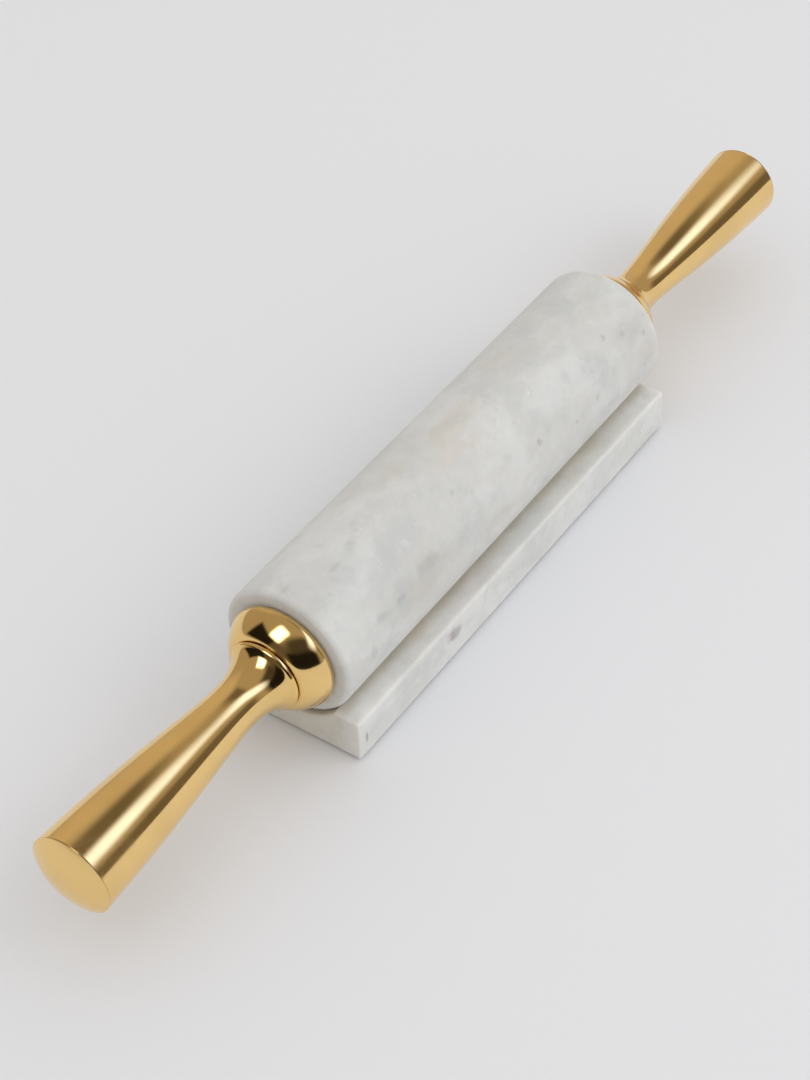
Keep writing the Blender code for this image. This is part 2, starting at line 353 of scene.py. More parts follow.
class Wiring:
    """Adds nodes to one tree and joins them, so that a finish reads as a formula."""

    def __init__(self, tree: bpy.types.NodeTree) -> None:
        """Keep the tree.

        Args:
            tree: The node tree to work in.
        """
        self.tree = tree
        self.column = 0

    def add(self, kind: str, **settings: object) -> bpy.types.Node:
        """Add a node.

        Args:
            kind: Blender's name for the node type.
            **settings: Attributes to set on it.

        Returns:
            The node.
        """
        node = self.tree.nodes.new(kind)
        node.location = (self.column * 180, -(self.column % 7) * 160)
        self.column += 1
        for key, value in settings.items():
            setattr(node, key, value)
        return node

    def feed(self, socket: Socket, value: Value) -> None:
        """Join a socket to another, or set its value.

        Args:
            socket: The input.
            value: An output to join, or a plain value.
        """
        if isinstance(value, bpy.types.NodeSocket):
            self.tree.links.new(value, socket)
        elif isinstance(value, (int, float)):
            socket.default_value = value
        else:
            room = len(socket.default_value)
            socket.default_value = (*value, 1.0)[:room]

    def math(self, operation: str, first: Value, second: Value = 0.0, clamp: bool = False) -> Socket:
        """Work out a number at each place.

        Args:
            operation: Blender's name for the operation.
            first: First number.
            second: Second number.
            clamp: Whether the result is kept from 0 to 1.

        Returns:
            The result.
        """
        node = self.add("ShaderNodeMath", operation=operation, use_clamp=clamp)
        self.feed(node.inputs[0], first)
        self.feed(node.inputs[1], second)
        return node.outputs[0]

    def times(self, first: Value, second: Value) -> Socket:
        """Multiply two numbers."""
        return self.math("MULTIPLY", first, second)

    def plus(self, first: Value, second: Value) -> Socket:
        """Add two numbers."""
        return self.math("ADD", first, second)

    def minus(self, first: Value, second: Value) -> Socket:
        """Take the second number from the first."""
        return self.math("SUBTRACT", first, second)

    def vector(self, operation: str, first: Value, second: Value = ORIGIN) -> Socket:
        """Work out a vector at each place.

        Args:
            operation: Blender's name for the operation.
            first: First vector.
            second: Second vector.

        Returns:
            The result, or its length where the operation gives a number.
        """
        node = self.add("ShaderNodeVectorMath", operation=operation)
        self.feed(node.inputs[0], first)
        self.feed(node.inputs[1], second)
        return node.outputs[1 if operation in ("LENGTH", "DISTANCE", "DOT_PRODUCT") else 0]

    def scaled(self, vector: Value, factor: Value) -> Socket:
        """Scale a vector.

        Args:
            vector: The vector.
            factor: What it is multiplied by.

        Returns:
            The scaled vector.
        """
        node = self.add("ShaderNodeVectorMath", operation="SCALE")
        self.feed(node.inputs[0], vector)
        self.feed(node.inputs["Scale"], factor)
        return node.outputs[0]

    def channels(self, colour: Socket) -> tuple[Socket, ...]:
        """Split a colour, or a vector, into its three numbers.

        Args:
            colour: What is split.

        Returns:
            The three numbers.
        """
        kind = "ShaderNodeSeparateColor" if colour.type == "RGBA" else "ShaderNodeSeparateXYZ"
        node = self.add(kind)
        self.feed(node.inputs[0], colour)
        return tuple(node.outputs)

    def span(self, value: Value, low: Value, high: Value, start: float = 0.0, end: float = 1.0) -> Socket:
        """Ease a number from one range into another, with soft ends.

        Args:
            value: The number.
            low: Where the easing starts.
            high: Where it ends.
            start: Result at and below low.
            end: Result at and above high.

        Returns:
            The eased number.
        """
        node = self.add("ShaderNodeMapRange", interpolation_type="SMOOTHSTEP")
        settings = {"Value": value, "From Min": low, "From Max": high, "To Min": start, "To Max": end}
        for name, given in settings.items():
            self.feed(node.inputs[name], given)
        return node.outputs["Result"]

    def blend(self, share: Value, first: Value, second: Value, mode: str = "MIX") -> Socket:
        """Blend two colours.

        Args:
            share: How much of the second, from 0 to 1.
            first: First colour.
            second: Second colour.
            mode: Blender's name for the blend.

        Returns:
            The blended colour.
        """
        node = self.add("ShaderNodeMix", data_type="RGBA", blend_type=mode)
        for name, given in (("Factor", share), ("A", first), ("B", second)):
            self.feed(node.inputs[name], given)
        return next(socket for socket in node.outputs if socket.type == "RGBA")

    def cloud(
        self,
        place: Value,
        scale: Value,
        detail: float = 4.0,
        roughness: float = 0.55,
        distortion: float = 0.0,
    ) -> bpy.types.NodeOutputs:
        """Add a noise texture.

        Args:
            place: Where it is read.
            scale: Its scale.
            detail: Its finer layers.
            roughness: Strength of the finer layers.
            distortion: How much it is warped.

        Returns:
            Its outputs Fac and Color.
        """
        node = self.add("ShaderNodeTexNoise")
        settings = {"Vector": place, "Scale": scale, "Detail": detail, "Roughness": roughness}
        for name, given in {**settings, "Distortion": distortion}.items():
            self.feed(node.inputs[name], given)
        return node.outputs


class Group(Wiring):
    """A shader node group being built, with a vector input Place and the inputs given."""

    def __init__(self, name: str, outputs: Sequence[str], **inputs: float | Sequence[float]) -> None:
        """Start the group.

        Args:
            name: Name of the group.
            outputs: Names of its number outputs.
            **inputs: First value of each other input, with _ for a space in its name.
        """
        super().__init__(bpy.data.node_groups.new(name, "ShaderNodeTree"))
        for label, value in {"Place": ORIGIN, **inputs}.items():
            kind = "NodeSocketFloat" if isinstance(value, float) else "NodeSocketVector"
            label = label.replace("_", " ")
            self.tree.interface.new_socket(label, in_out="INPUT", socket_type=kind).default_value = value
        for label in outputs:
            self.tree.interface.new_socket(label, in_out="OUTPUT", socket_type="NodeSocketFloat")
        self.given = self.add("NodeGroupInput").outputs
        self.results = self.add("NodeGroupOutput").inputs
        self.place = self.given["Place"]

    def finished(self, *values: Socket) -> bpy.types.NodeTree:
        """Join a value to each output, in order.

        Args:
            *values: What the outputs give.

        Returns:
            The group, ready to be placed in a material.
        """
        for socket, value in zip(self.results, values):
            self.feed(socket, value)
        return self.tree


class Effects:
    """Node groups that several finishes share. Each is built once."""

    def __init__(self) -> None:
        """Build every group."""
        self.specks = self._build_specks()
        self.patch = self._build_patch()
        self.crack = self._build_crack()
        self.fissures = self._build_fissures()
        self.edge_wear = self._build_edge_wear()
        self.turning_lines = self._build_turning_lines()
        self.handling = self._build_handling()
        self.grain = self._build_grain()

    @staticmethod
    def _build_specks() -> bpy.types.NodeTree:
        """Build scattered specks: one soft spot in some cells of a random grid.

        Returns:
            The group, with outputs Mask and Variation.
        """
        outputs = ("Mask", "Variation")
        wire = Group("Scattered specks", outputs, Scale=200.0, Size=0.2, Share=0.3, Ragged=0.2)
        rough = wire.cloud(wire.place, 900.0, 2.0)["Color"]
        bend = wire.scaled(wire.vector("SUBTRACT", rough, HALVES), wire.given["Ragged"])
        spot = wire.vector("ADD", wire.scaled(wire.place, wire.given["Scale"]), bend)
        cells = wire.add("ShaderNodeTexVoronoi", feature="F1")
        wire.feed(cells.inputs["Vector"], spot)
        cells.inputs["Scale"].default_value = 1.0
        chance, size, variation = wire.channels(cells.outputs["Color"])
        chosen = wire.math("LESS_THAN", chance, wire.given["Share"])
        reach = wire.times(wire.given["Size"], wire.span(size, 0, 1, 0.4, 1.0))
        mask = wire.span(cells.outputs["Distance"], wire.times(reach, 0.35), reach, 1.0, 0.0)
        return wire.finished(wire.times(mask, chosen), variation)

    @staticmethod
    def _build_patch() -> bpy.types.NodeTree:
        """Build one ragged patch at a given place.

        Returns:
            The group, with output Mask.
        """
        shape = {"Centre": ORIGIN, "Reach": (0.01, 0.01, 0.01), "Ragged": 0.5}
        wire = Group("Ragged patch", ("Mask",), **shape, Grain=120.0, Soft=0.4)
        offset = wire.vector("SUBTRACT", wire.place, wire.given["Centre"])
        distance = wire.vector("LENGTH", wire.vector("DIVIDE", offset, wire.given["Reach"]))
        ruffle = wire.minus(wire.cloud(wire.place, wire.given["Grain"], 4.0, 0.6)["Fac"], 0.5)
        edge = wire.plus(distance, wire.times(wire.times(ruffle, wire.given["Ragged"]), 2.0))
        return wire.finished(wire.span(edge, wire.minus(1.0, wire.given["Soft"]), 1.0, 1.0, 0.0))

    @staticmethod
    def _build_crack() -> bpy.types.NodeTree:
        """Build one thin wandering line between two given places.

        Returns:
            The group, with output Mask.
        """
        wire = Group("Healed crack", ("Mask",), Start=ORIGIN, End=ORIGIN, Width=0.0003)
        wander = wire.cloud(wire.place, 260.0, 4.0, 0.6)
        swing = wire.scaled(wire.vector("SUBTRACT", wander["Color"], HALVES), 0.0024)
        reached = wire.vector("SUBTRACT", wire.vector("ADD", wire.place, swing), wire.given["Start"])
        whole = wire.vector("SUBTRACT", wire.given["End"], wire.given["Start"])
        ahead, length = wire.vector("DOT_PRODUCT", reached, whole), wire.vector("DOT_PRODUCT", whole, whole)
        nearest = wire.scaled(whole, wire.math("DIVIDE", ahead, length, clamp=True))
        distance = wire.vector("LENGTH", wire.vector("SUBTRACT", reached, nearest))
        thick = wire.times(wire.given["Width"], wire.span(wander["Fac"], 0.35, 0.65, 0.4, 1.4))
        return wire.finished(wire.span(distance, wire.times(thick, 0.3), thick, 1.0, 0.0))

    @staticmethod
    def _build_fissures() -> bpy.types.NodeTree:
        """Build thin wandering lines that fade in and out.

        Returns:
            The group, with output Mask.
        """
        wire = Group("Thin fissures", ("Mask",), Scale=20.0, Width=0.01, Cover=0.5)
        middle = wire.minus(wire.cloud(wire.place, wire.given["Scale"], 5.0, 0.55, 0.6)["Fac"], 0.5)
        line = wire.span(wire.math("ABSOLUTE", middle), 0.0, wire.given["Width"], 1.0, 0.0)
        shifted = wire.vector("ADD", wire.place, (0.31, 0.17, 0.05))
        gate = wire.cloud(shifted, wire.times(wire.given["Scale"], 1.7), 3.0, 0.5)["Fac"]
        shut = wire.minus(1.0, wire.given["Cover"])
        return wire.finished(wire.times(line, wire.span(gate, shut, wire.plus(shut, 0.12))))

    @staticmethod
    def _build_edge_wear() -> bpy.types.NodeTree:
        """Build a broken mask along outer edges, and one in the hollows.

        Returns:
            The group, with outputs Edge and Hollow.
        """
        wire = Group("Edge wear", ("Edge", "Hollow"), Start=0.52, Broken=0.5, Scale=300.0)
        bend = wire.add("ShaderNodeNewGeometry").outputs["Pointiness"]
        start = wire.given["Start"]
        edge = wire.span(bend, start, wire.plus(start, 0.06))
        patchy = wire.cloud(wire.place, wire.given["Scale"], 5.0, 0.65)["Fac"]
        keep = wire.span(patchy, wire.given["Broken"], 0.75)
        mirrored = wire.minus(1.0, start)
        hollow = wire.span(bend, wire.minus(mirrored, 0.06), mirrored, 1.0, 0.0)
        return wire.finished(wire.times(edge, keep), hollow)

    @staticmethod
    def _build_turning_lines() -> bpy.types.NodeTree:
        """Build fine lines left by turning and buffing, closed round the X axis.

        Returns:
            The group, with outputs Height and Hairlines.
        """
        wire = Group("Turning lines", ("Height", "Hairlines"), Pitch=9000.0, Hairs=0.5)
        along = wire.vector("MULTIPLY", wire.place, (1.0, 0.012, 0.012))
        lines = wire.cloud(along, wire.given["Pitch"], 3.0, 0.6)["Fac"]
        askew = wire.add("ShaderNodeMapping")
        wire.feed(askew.inputs["Vector"], wire.place)
        askew.inputs["Rotation"].default_value = (0.3, 0.5, 0.9)
        askew.inputs["Scale"].default_value = (1.0, 0.03, 0.05)
        ridge = wire.minus(wire.cloud(askew.outputs[0], 2600.0, 2.0, 0.5)["Fac"], 0.5)
        hair = wire.span(wire.math("ABSOLUTE", ridge), 0.0, 0.012, 1.0, 0.0)
        shown = wire.math("GREATER_THAN", wire.cloud(wire.place, 70.0, 2.0)["Fac"], wire.given["Hairs"])
        return wire.finished(lines, wire.times(hair, shown))

    @staticmethod
    def _build_handling() -> bpy.types.NodeTree:
        """Build smudges from handling: broad dull areas with finer breaks.

        Returns:
            The group, with output Smudge.
        """
        wire = Group("Handling smudges", ("Smudge",), Scale=30.0, Cover=0.5)
        broad = wire.cloud(wire.place, wire.given["Scale"], 3.0, 0.5, 0.4)["Fac"]
        fine = wire.cloud(wire.place, 420.0, 4.0, 0.6)["Fac"]
        shut = wire.minus(1.0, wire.given["Cover"])
        area = wire.span(broad, shut, wire.plus(shut, 0.25))
        return wire.finished(wire.times(area, wire.span(fine, 0.3, 0.7, 0.45, 1.0)))

    @staticmethod
    def _build_grain() -> bpy.types.NodeTree:
        """Build the fine unevenness of a honed or moulded surface.

        Returns:
            The group, with output Height.
        """
        wire = Group("Surface grain", ("Height",), Scale=1500.0, Waves=60.0, Wave_share=0.4)
        fine = wire.cloud(wire.place, wire.given["Scale"], 3.0, 0.6)["Fac"]
        broad = wire.cloud(wire.place, wire.given["Waves"], 2.0, 0.5)["Fac"]
        return wire.finished(wire.plus(fine, wire.times(broad, wire.given["Wave share"])))


class Finish:
    """A material being made: its Principled shader, wiring and shared effects."""

    def __init__(self, name: str, effects: Effects) -> None:
        """Start a material.

        Args:
            name: Name of the material.
            effects: The shared node groups.
        """
        self.material = bpy.data.materials.new(name)
        self.material.use_nodes = True
        self.wire = Wiring(self.material.node_tree)
        self.shader = self.material.node_tree.nodes["Principled BSDF"]
        self.effects = effects
        self.place = self.wire.add("ShaderNodeTexCoord").outputs["Object"]

    def set(self, **values: Value) -> None:
        """Set or join sockets of the shader.

        Args:
            **values: Socket names, with _ for a space, and their values.
        """
        for name, value in values.items():
            self.wire.feed(self.shader.inputs[name.replace("_", " ")], value)

    def effect(self, group: bpy.types.NodeTree, **values: Value) -> bpy.types.NodeOutputs:
        """Place a shared group with its own values.

        Args:
            group: The node group.
            **values: Input names, with _ for a space, and their values.

        Returns:
            The group's outputs.
        """
        node = self.wire.add("ShaderNodeGroup", node_tree=group)
        for name, value in {"Place": self.place, **values}.items():
            self.wire.feed(node.inputs[name.replace("_", " ")], value)
        return node.outputs

    def bump(self, height: Value, depth: float, strength: float, normal: Value | None = None) -> Socket:
        """Turn a height into a normal.

        Args:
            height: The height.
            depth: Its depth in metres.
            strength: How much it shows.
            normal: An earlier normal to build on.

        Returns:
            The normal.
        """
        node = self.wire.add("ShaderNodeBump")
        node.inputs["Strength"].default_value = strength
        node.inputs["Distance"].default_value = depth
        self.wire.feed(node.inputs["Height"], height)
        if normal is not None:
            self.wire.feed(node.inputs["Normal"], normal)
        return node.outputs["Normal"]


class MarkKind(Enum):
    """Kinds of single marks in the stone, with the colour that each leans to."""

    WARM = tone(200, 188, 164)
    OLIVE = tone(184, 181, 160)
    GREY = tone(150, 152, 152)
    DARK = tone(84, 80, 82)
    PLUM = tone(146, 124, 122)
    PALE = tone(236, 236, 234)


@dataclass(frozen=True)
class StoneMark:
    """One soft mark that sits at a known place in the stone."""

    kind: MarkKind  # what it looks like
    centre: tuple[float, float, float]  # its place, in millimetres
    reach: tuple[float, float, float]  # its half sizes along X, Y and Z, in millimetres
    strength: float  # how strongly it shows, from 0 to 1
    ragged: float = 0.5  # how broken its edge is


@dataclass(frozen=True)
class HealedCrack:
    """A thin pale line that runs through known places in the stone."""

    places: tuple[tuple[float, float, float], ...]  # the places that it passes, in millimetres
    width: float  # its half width, in millimetres
    strength: float  # how strongly it shows, from 0 to 1


def metres(place: Sequence[float]) -> tuple[float, float, float]:
    """Turn a place given in millimetres into metres."""
    return place[0] * MILLIMETRE, place[1] * MILLIMETRE, place[2] * MILLIMETRE


@dataclass(frozen=True)
class MarbleFinish:
    """Honed white marble with faint clouds, thin fissures and small dark specks, and painted contact shade
    along a groove's lips where asked.
    """

    name: str  # name of the material
    marks: tuple[StoneMark, ...] = ()  # single marks at known places
    cracks: tuple[HealedCrack, ...] = ()  # healed cracks at known places
    shift: tuple[float, float, float] = (0.0, 0.0, 0.0)  # offset that gives each block its own pattern
    shade: float = 1.0  # how pale the whole stone is, where 1 is the stated colours
    shaded_lips: float = 0.0  # distance from X, in millimetres, of the groove's lips that get painted contact shade, or 0
    slab: Point = (-0.0021, 0.10675)  # middle and half length, along X, of the slab whose groove lips get painted contact shade, half as strong at its very ends
    stain_and_shade: Colour = (0.82, 0.755, 0.65)  # colour of the painted contact shade on the groove's lips
    ground: Colour = tone(215, 214, 209)  # the stone's main colour
    pale: Colour = tone(229, 229, 226)  # colour of its palest crystals and fissures
    cloud: Colour = tone(202, 204, 201)  # colour of the cool clouds
    warm: Colour = tone(216, 209, 197)  # colour of the warm clouds
    speck: Colour = tone(122, 112, 114)  # colour of the small specks
    roughness: float = 0.56  # how dull the honed surface is

    def build(self, effects: Effects) -> bpy.types.Material:
        """Make the material.

        Args:
            effects: The shared node groups.

        Returns:
            The material.
        """
        finish = Finish(self.name, effects)
        wire = finish.wire
        real_place = finish.place
        finish.place = wire.vector("ADD", real_place, self.shift)
        colour = self._crystals(finish)
        colour = self._add_marks(finish, real_place, colour)
        fissures = finish.effect(effects.fissures, Scale=30.0, Width=0.006, Cover=0.44)
        colour = wire.blend(wire.times(fissures[0], 0.45), colour, self.pale)
        flecks = finish.effect(effects.specks, Scale=260.0, Size=0.24, Share=0.15, Ragged=1.4)
        colour = wire.blend(wire.times(flecks["Mask"], 0.55), colour, self.pale)
        specks = finish.effect(effects.specks, Scale=95.0, Size=0.15, Share=0.10, Ragged=0.5)
        faint = wire.times(specks["Mask"], wire.span(specks["Variation"], 0, 1, 0.05, 0.32))
        colour = wire.blend(faint, colour, self.speck)
        wear = finish.effect(effects.edge_wear, Start=0.515, Broken=0.3, Scale=420.0)
        colour = wire.blend(wire.times(wear["Edge"], 0.5), colour, self.pale)
        colour = wire.blend(1.0, colour, (self.shade, self.shade, self.shade), "MULTIPLY")
        # painted contact shade, multiplied into the colour along the groove's lips beside the roller
        if self.shaded_lips > 0:
            colour = wire.blend(self._rubbed_lips(wire, real_place), colour, self.stain_and_shade, "MULTIPLY")
        grain = finish.effect(effects.grain, Scale=2400.0, Waves=90.0, Wave_share=0.8)
        dulled = wire.times(grain["Height"], 0.12)
        normal = finish.bump(grain[0], 0.05 * MILLIMETRE, 0.35)
        normal = finish.bump(wire.times(flecks["Mask"], -1.0), 0.04 * MILLIMETRE, 0.3, normal)
        finish.set(Base_Color=colour, Roughness=wire.plus(dulled, self.roughness - 0.11), Normal=normal)
        finish.set(Subsurface_Weight=0.5, Subsurface_Radius=(1.0, 0.95, 0.85), Subsurface_Scale=0.005)
        finish.set(IOR=1.42)
        return finish.material

    def _rubbed_lips(self, wire: Wiring, place: Socket) -> Socket:
        """Find the band along the groove's lips that gets painted contact shade beside the roller.

        Args:
            wire: The finish's wiring.
            place: The unshifted place.

        Returns:
            A mask, strongest at the lips.
        """
        along, across, _ = wire.channels(place)
        ruffle = wire.minus(wire.cloud(place, 90.0, 3.0)["Fac"], 0.5)
        ragged = wire.plus(wire.math("ABSOLUTE", across), wire.times(ruffle, 4 * MILLIMETRE))
        lip = self.shaded_lips * MILLIMETRE
        band = wire.span(ragged, lip, lip + 5.5 * MILLIMETRE, 0.85, 0.0)
        middle, half_length = self.slab
        beside = wire.math("ABSOLUTE", wire.minus(along, middle))
        inside = wire.span(beside, half_length - 4 * MILLIMETRE, half_length, 1.0, 0.5)
        return wire.times(band, inside)

    def _crystals(self, finish: Finish) -> Socket:
        """Blend the stone's clouds and crystals.

        Args:
            finish: The finish being made.

        Returns:
            The colour of the plain stone.
        """
        wire = finish.wire
        stretched = wire.vector("MULTIPLY", finish.place, (0.62, 1.0, 1.0))
        broad = wire.cloud(stretched, 42.0, 5.0, 0.58, 0.2)
        cool, warm, light = wire.channels(broad["Color"])
        middling = wire.cloud(finish.place, 130.0, 6.0, 0.62, 0.25)["Fac"]
        fine = wire.cloud(finish.place, 520.0, 4.0, 0.62, 0.2)["Fac"]
        layers = (
            (cool, 0.50, 0.64, 0.55, self.cloud),
            (warm, 0.52, 0.68, 0.55, self.warm),
            (light, 0.50, 0.62, 0.42, self.pale),
            (middling, 0.50, 0.68, 0.5, self.cloud),
            (middling, 0.48, 0.30, 0.4, self.pale),
            (fine, 0.54, 0.75, 0.28, self.pale),
        )
        colour: Value = self.ground
        for source, low, high, most, tint in layers:
            colour = wire.blend(wire.span(source, low, high, 0.0, most), colour, tint)
        return colour

    def _add_marks(self, finish: Finish, place: Socket, colour: Socket) -> Socket:
        """Lay each single mark and crack over the stone.

        Args:
            finish: The finish being made.
            place: The unshifted place.
            colour: The stone's colour so far.

        Returns:
            The colour with the marks on it.
        """
        wire = finish.wire
        effects = finish.effects
        for mark in self.marks:
            shape = {"Centre": metres(mark.centre), "Reach": metres(mark.reach), "Ragged": mark.ragged}
            grain = 1500.0 / max(mark.reach)
            patch = finish.effect(effects.patch, Place=place, Grain=grain, Soft=0.75, **shape)
            colour = wire.blend(wire.times(patch["Mask"], mark.strength), colour, mark.kind.value)
        for crack in self.cracks:
            for start, end in zip(crack.places, crack.places[1:]):
                ends = {"Start": metres(start), "End": metres(end)}
                line = finish.effect(effects.crack, Place=place, Width=crack.width * MILLIMETRE, **ends)
                colour = wire.blend(wire.times(line["Mask"], crack.strength), colour, self.pale)
        return colour


@dataclass(frozen=True)
class PolishedBrassFinish:
    """Mirror-polished gold-coloured brass with faint buffing lines, smudges and pits."""

    name: str = "Polished brass"  # name of the material
    metal: Colour = (0.97, 0.675, 0.275)  # colour of the clean metal
    tarnish: Colour = (0.62, 0.30, 0.10)  # colour it turns in corners
    pit: Colour = (0.10, 0.06, 0.03)  # colour inside the tiny pits
    roughness: float = 0.085  # roughness of the cleanest metal
    dulled: float = 0.17  # roughness where it has been handled

    def build(self, effects: Effects) -> bpy.types.Material:
        """Make the material.

        Args:
            effects: The shared node groups.

        Returns:
            The material.
        """
        finish = Finish(self.name, effects)
        wire = finish.wire
        smudge = finish.effect(effects.handling, Scale=24.0, Cover=0.52)[0]
        lines = finish.effect(effects.turning_lines, Pitch=5200.0, Hairs=0.56)
        pits = finish.effect(effects.specks, Scale=330.0, Size=0.16, Share=0.012, Ragged=0.5)
        wear = finish.effect(effects.edge_wear, Start=0.53, Broken=0.25, Scale=500.0)
        shade = wire.cloud(finish.place, 45.0, 3.0)["Fac"]
        deep = tuple(part * 0.93 for part in self.metal)
        colour = wire.blend(wire.span(shade, 0.35, 0.7), self.metal, deep)
        colour = wire.blend(wire.times(wear["Hollow"], 0.6), colour, self.tarnish)
        colour = wire.blend(wire.times(pits["Mask"], 0.8), colour, self.pit)
        rough = wire.span(smudge, 0.0, 1.0, self.roughness, self.dulled)
        rough = wire.plus(rough, wire.times(lines["Hairlines"], 0.08))
        rough = wire.plus(rough, wire.times(wear["Edge"], 0.06))
        normal = finish.bump(lines["Height"], 0.004 * MILLIMETRE, 0.12)
        waves = finish.effect(effects.grain, Scale=260.0, Waves=42.0, Wave_share=4.0)
        normal = finish.bump(waves[0], 0.02 * MILLIMETRE, 0.05, normal)
        normal = finish.bump(wire.times(pits["Mask"], -1.0), 0.05 * MILLIMETRE, 0.5, normal)
        finish.set(Base_Color=colour, Metallic=1.0, Roughness=rough, Normal=normal)
        return finish.material


@dataclass(frozen=True)
class TurnedSteelFinish:
    """Zinc-plated steel with turning lines and a film of oil."""

    name: str = "Plated steel"  # name of the material
    metal: Colour = (0.56, 0.57, 0.58)  # colour of the plating
    stain_and_shade: Colour = (0.34, 0.33, 0.31)  # colour where it has dulled

    def build(self, effects: Effects) -> bpy.types.Material:
        """Make the material.

        Args:
            effects: The shared node groups.

        Returns:
            The material.
        """
        finish = Finish(self.name, effects)
        wire = finish.wire
        lines = finish.effect(effects.turning_lines, Pitch=2600.0, Hairs=0.5)
        smudge = finish.effect(effects.handling, Scale=60.0, Cover=0.5)[0]
        wear = finish.effect(effects.edge_wear, Start=0.53, Broken=0.3, Scale=600.0)
        colour = wire.blend(wire.times(smudge, 0.6), self.metal, self.stain_and_shade)
        colour = wire.blend(wire.times(wear["Edge"], 0.5), colour, (0.75, 0.75, 0.75))
        rough = wire.span(smudge, 0.0, 1.0, 0.28, 0.48)
        normal = finish.bump(lines["Height"], 0.01 * MILLIMETRE, 0.4)
        finish.set(Base_Color=colour, Metallic=1.0, Roughness=rough, Normal=normal)
        return finish.material


@dataclass(frozen=True)
class MouldedFinish:
    """A plain moulded material, such as nylon or a soft pad, with fine grain and dust."""

    name: str  # name of the material
    ground: Colour  # its colour
    dust: Colour  # colour of what has settled on it
    roughness: float  # how dull it is
    grain: float  # scale of its grain

    def build(self, effects: Effects) -> bpy.types.Material:
        """Make the material.

        Args:
            effects: The shared node groups.

        Returns:
            The material.
        """
        finish = Finish(self.name, effects)
        wire = finish.wire
        smudge = finish.effect(effects.handling, Scale=90.0, Cover=0.45)[0]
        specks = finish.effect(effects.specks, Scale=700.0, Size=0.3, Share=0.2, Ragged=0.4)
        grain = finish.effect(effects.grain, Scale=self.grain, Waves=300.0, Wave_share=0.5)
        colour = wire.blend(wire.times(smudge, 0.3), self.ground, self.dust)
        colour = wire.blend(wire.times(specks["Mask"], 0.2), colour, self.dust)
        rough = wire.span(smudge, 0.0, 1.0, self.roughness, self.roughness + 0.12)
        finish.set(Base_Color=colour, Roughness=rough)
        finish.set(Normal=finish.bump(grain[0], 0.03 * MILLIMETRE, 0.5))
        return finish.material


def add_piece(
    node: str, mesh: bpy.types.Mesh, finish: bpy.types.Material, body: Body
) -> bpy.types.Object:
    """Put a node's fine mesh into the scene with its finish, on its body.

    Args:
        node: The CAD node that it stands for.
        mesh: Its mesh.
        finish: Its material.
        body: The body it moves with.

    Returns:
        The new piece.
    """
    piece = object_from(f"{node}_fine", mesh, finish)
    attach(piece, body.value)
    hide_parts(node)
    LOG.info("%s: %d faces on %s", piece.name, len(mesh.polygons), body.value)
    return piece


@dataclass
class MarbleRoller:
    """The bored marble cylinder."""

    axis: TurningAxis  # the pin's axis
    finish: bpy.types.Material  # its material
    edge_round: float = 0.0023  # radius of its outer edges
    counterbore: float = 0.0130  # radius of the recess at each end
    recess: float = 0.0186  # depth of that recess
    bore: float = 0.0065  # radius of the through bore
    segments: int = 224  # facets round the axis

    def build(self) -> bpy.types.Object:
        """Make the roller.

        Returns:
            The finished piece.
        """
        reach = Span.of("marble_roller")
        half = self._half_outline(reach)
        mirrored = [Corner(-spot.along, spot.out, spot.soften) for spot in reversed(half)]
        points = softened(half + mirrored, closed=True)
        mesh = self.axis.turn("marble_roller", points, Side.RIGHT, self.segments, True, self._chips(reach))
        return add_piece("marble_roller", mesh, self.finish, Body.ROLLER)

    def _half_outline(self, reach: Span) -> list[Corner]:
        """Draw the outline of the +X half, from the middle of its skin to its bore.

        Args:
            reach: The roller's span.

        Returns:
            The corners in order.
        """
        end, radius = reach.far, reach.radius
        skin_end = end - self.edge_round
        skin = [Corner(skin_end * share, radius) for share in (0.0, 0.2, 0.4, 0.6, 0.8, 0.92, 0.98)]
        edge = arc((skin_end, radius - self.edge_round), self.edge_round, 90, 0, 12)
        floor = end - self.recess
        return [
            *skin[1:],
            *edge,
            Corner(end, radius - self.edge_round - 0.0004),
            Corner(end, self.counterbore, 0.0004),
            Corner(floor, self.counterbore, EDGE),
            Corner(floor, self.bore, EDGE),
        ]

    @staticmethod
    def _chips(reach: Span) -> Callable[[float, float, float], float]:
        """Make small bruises on the roller's outer edges.

        Args:
            reach: The roller's span.

        Returns:
            A function from (along, radius, angle) to a change of radius.
        """

        def bruise(along: float, out: float, angle: float) -> float:
            """Find how deep the bruise is at one place.

            Args:
                along: Distance along the axis.
                out: Distance from the axis.
                angle: Angle round the axis.

            Returns:
                The change of radius, 0 or less.
            """
            near_edge = max(0.0, 1.0 - (reach.far - abs(along)) / (3 * MILLIMETRE))
            if out < reach.radius * 0.8 or near_edge <= 0:
                return 0.0
            spot = Vector((along * 40, math.cos(angle) * 9, math.sin(angle) * 9))
            depth = max(0.0, noise.noise(spot) - 0.25)
            return -0.35 * MILLIMETRE * depth * near_edge

        return bruise


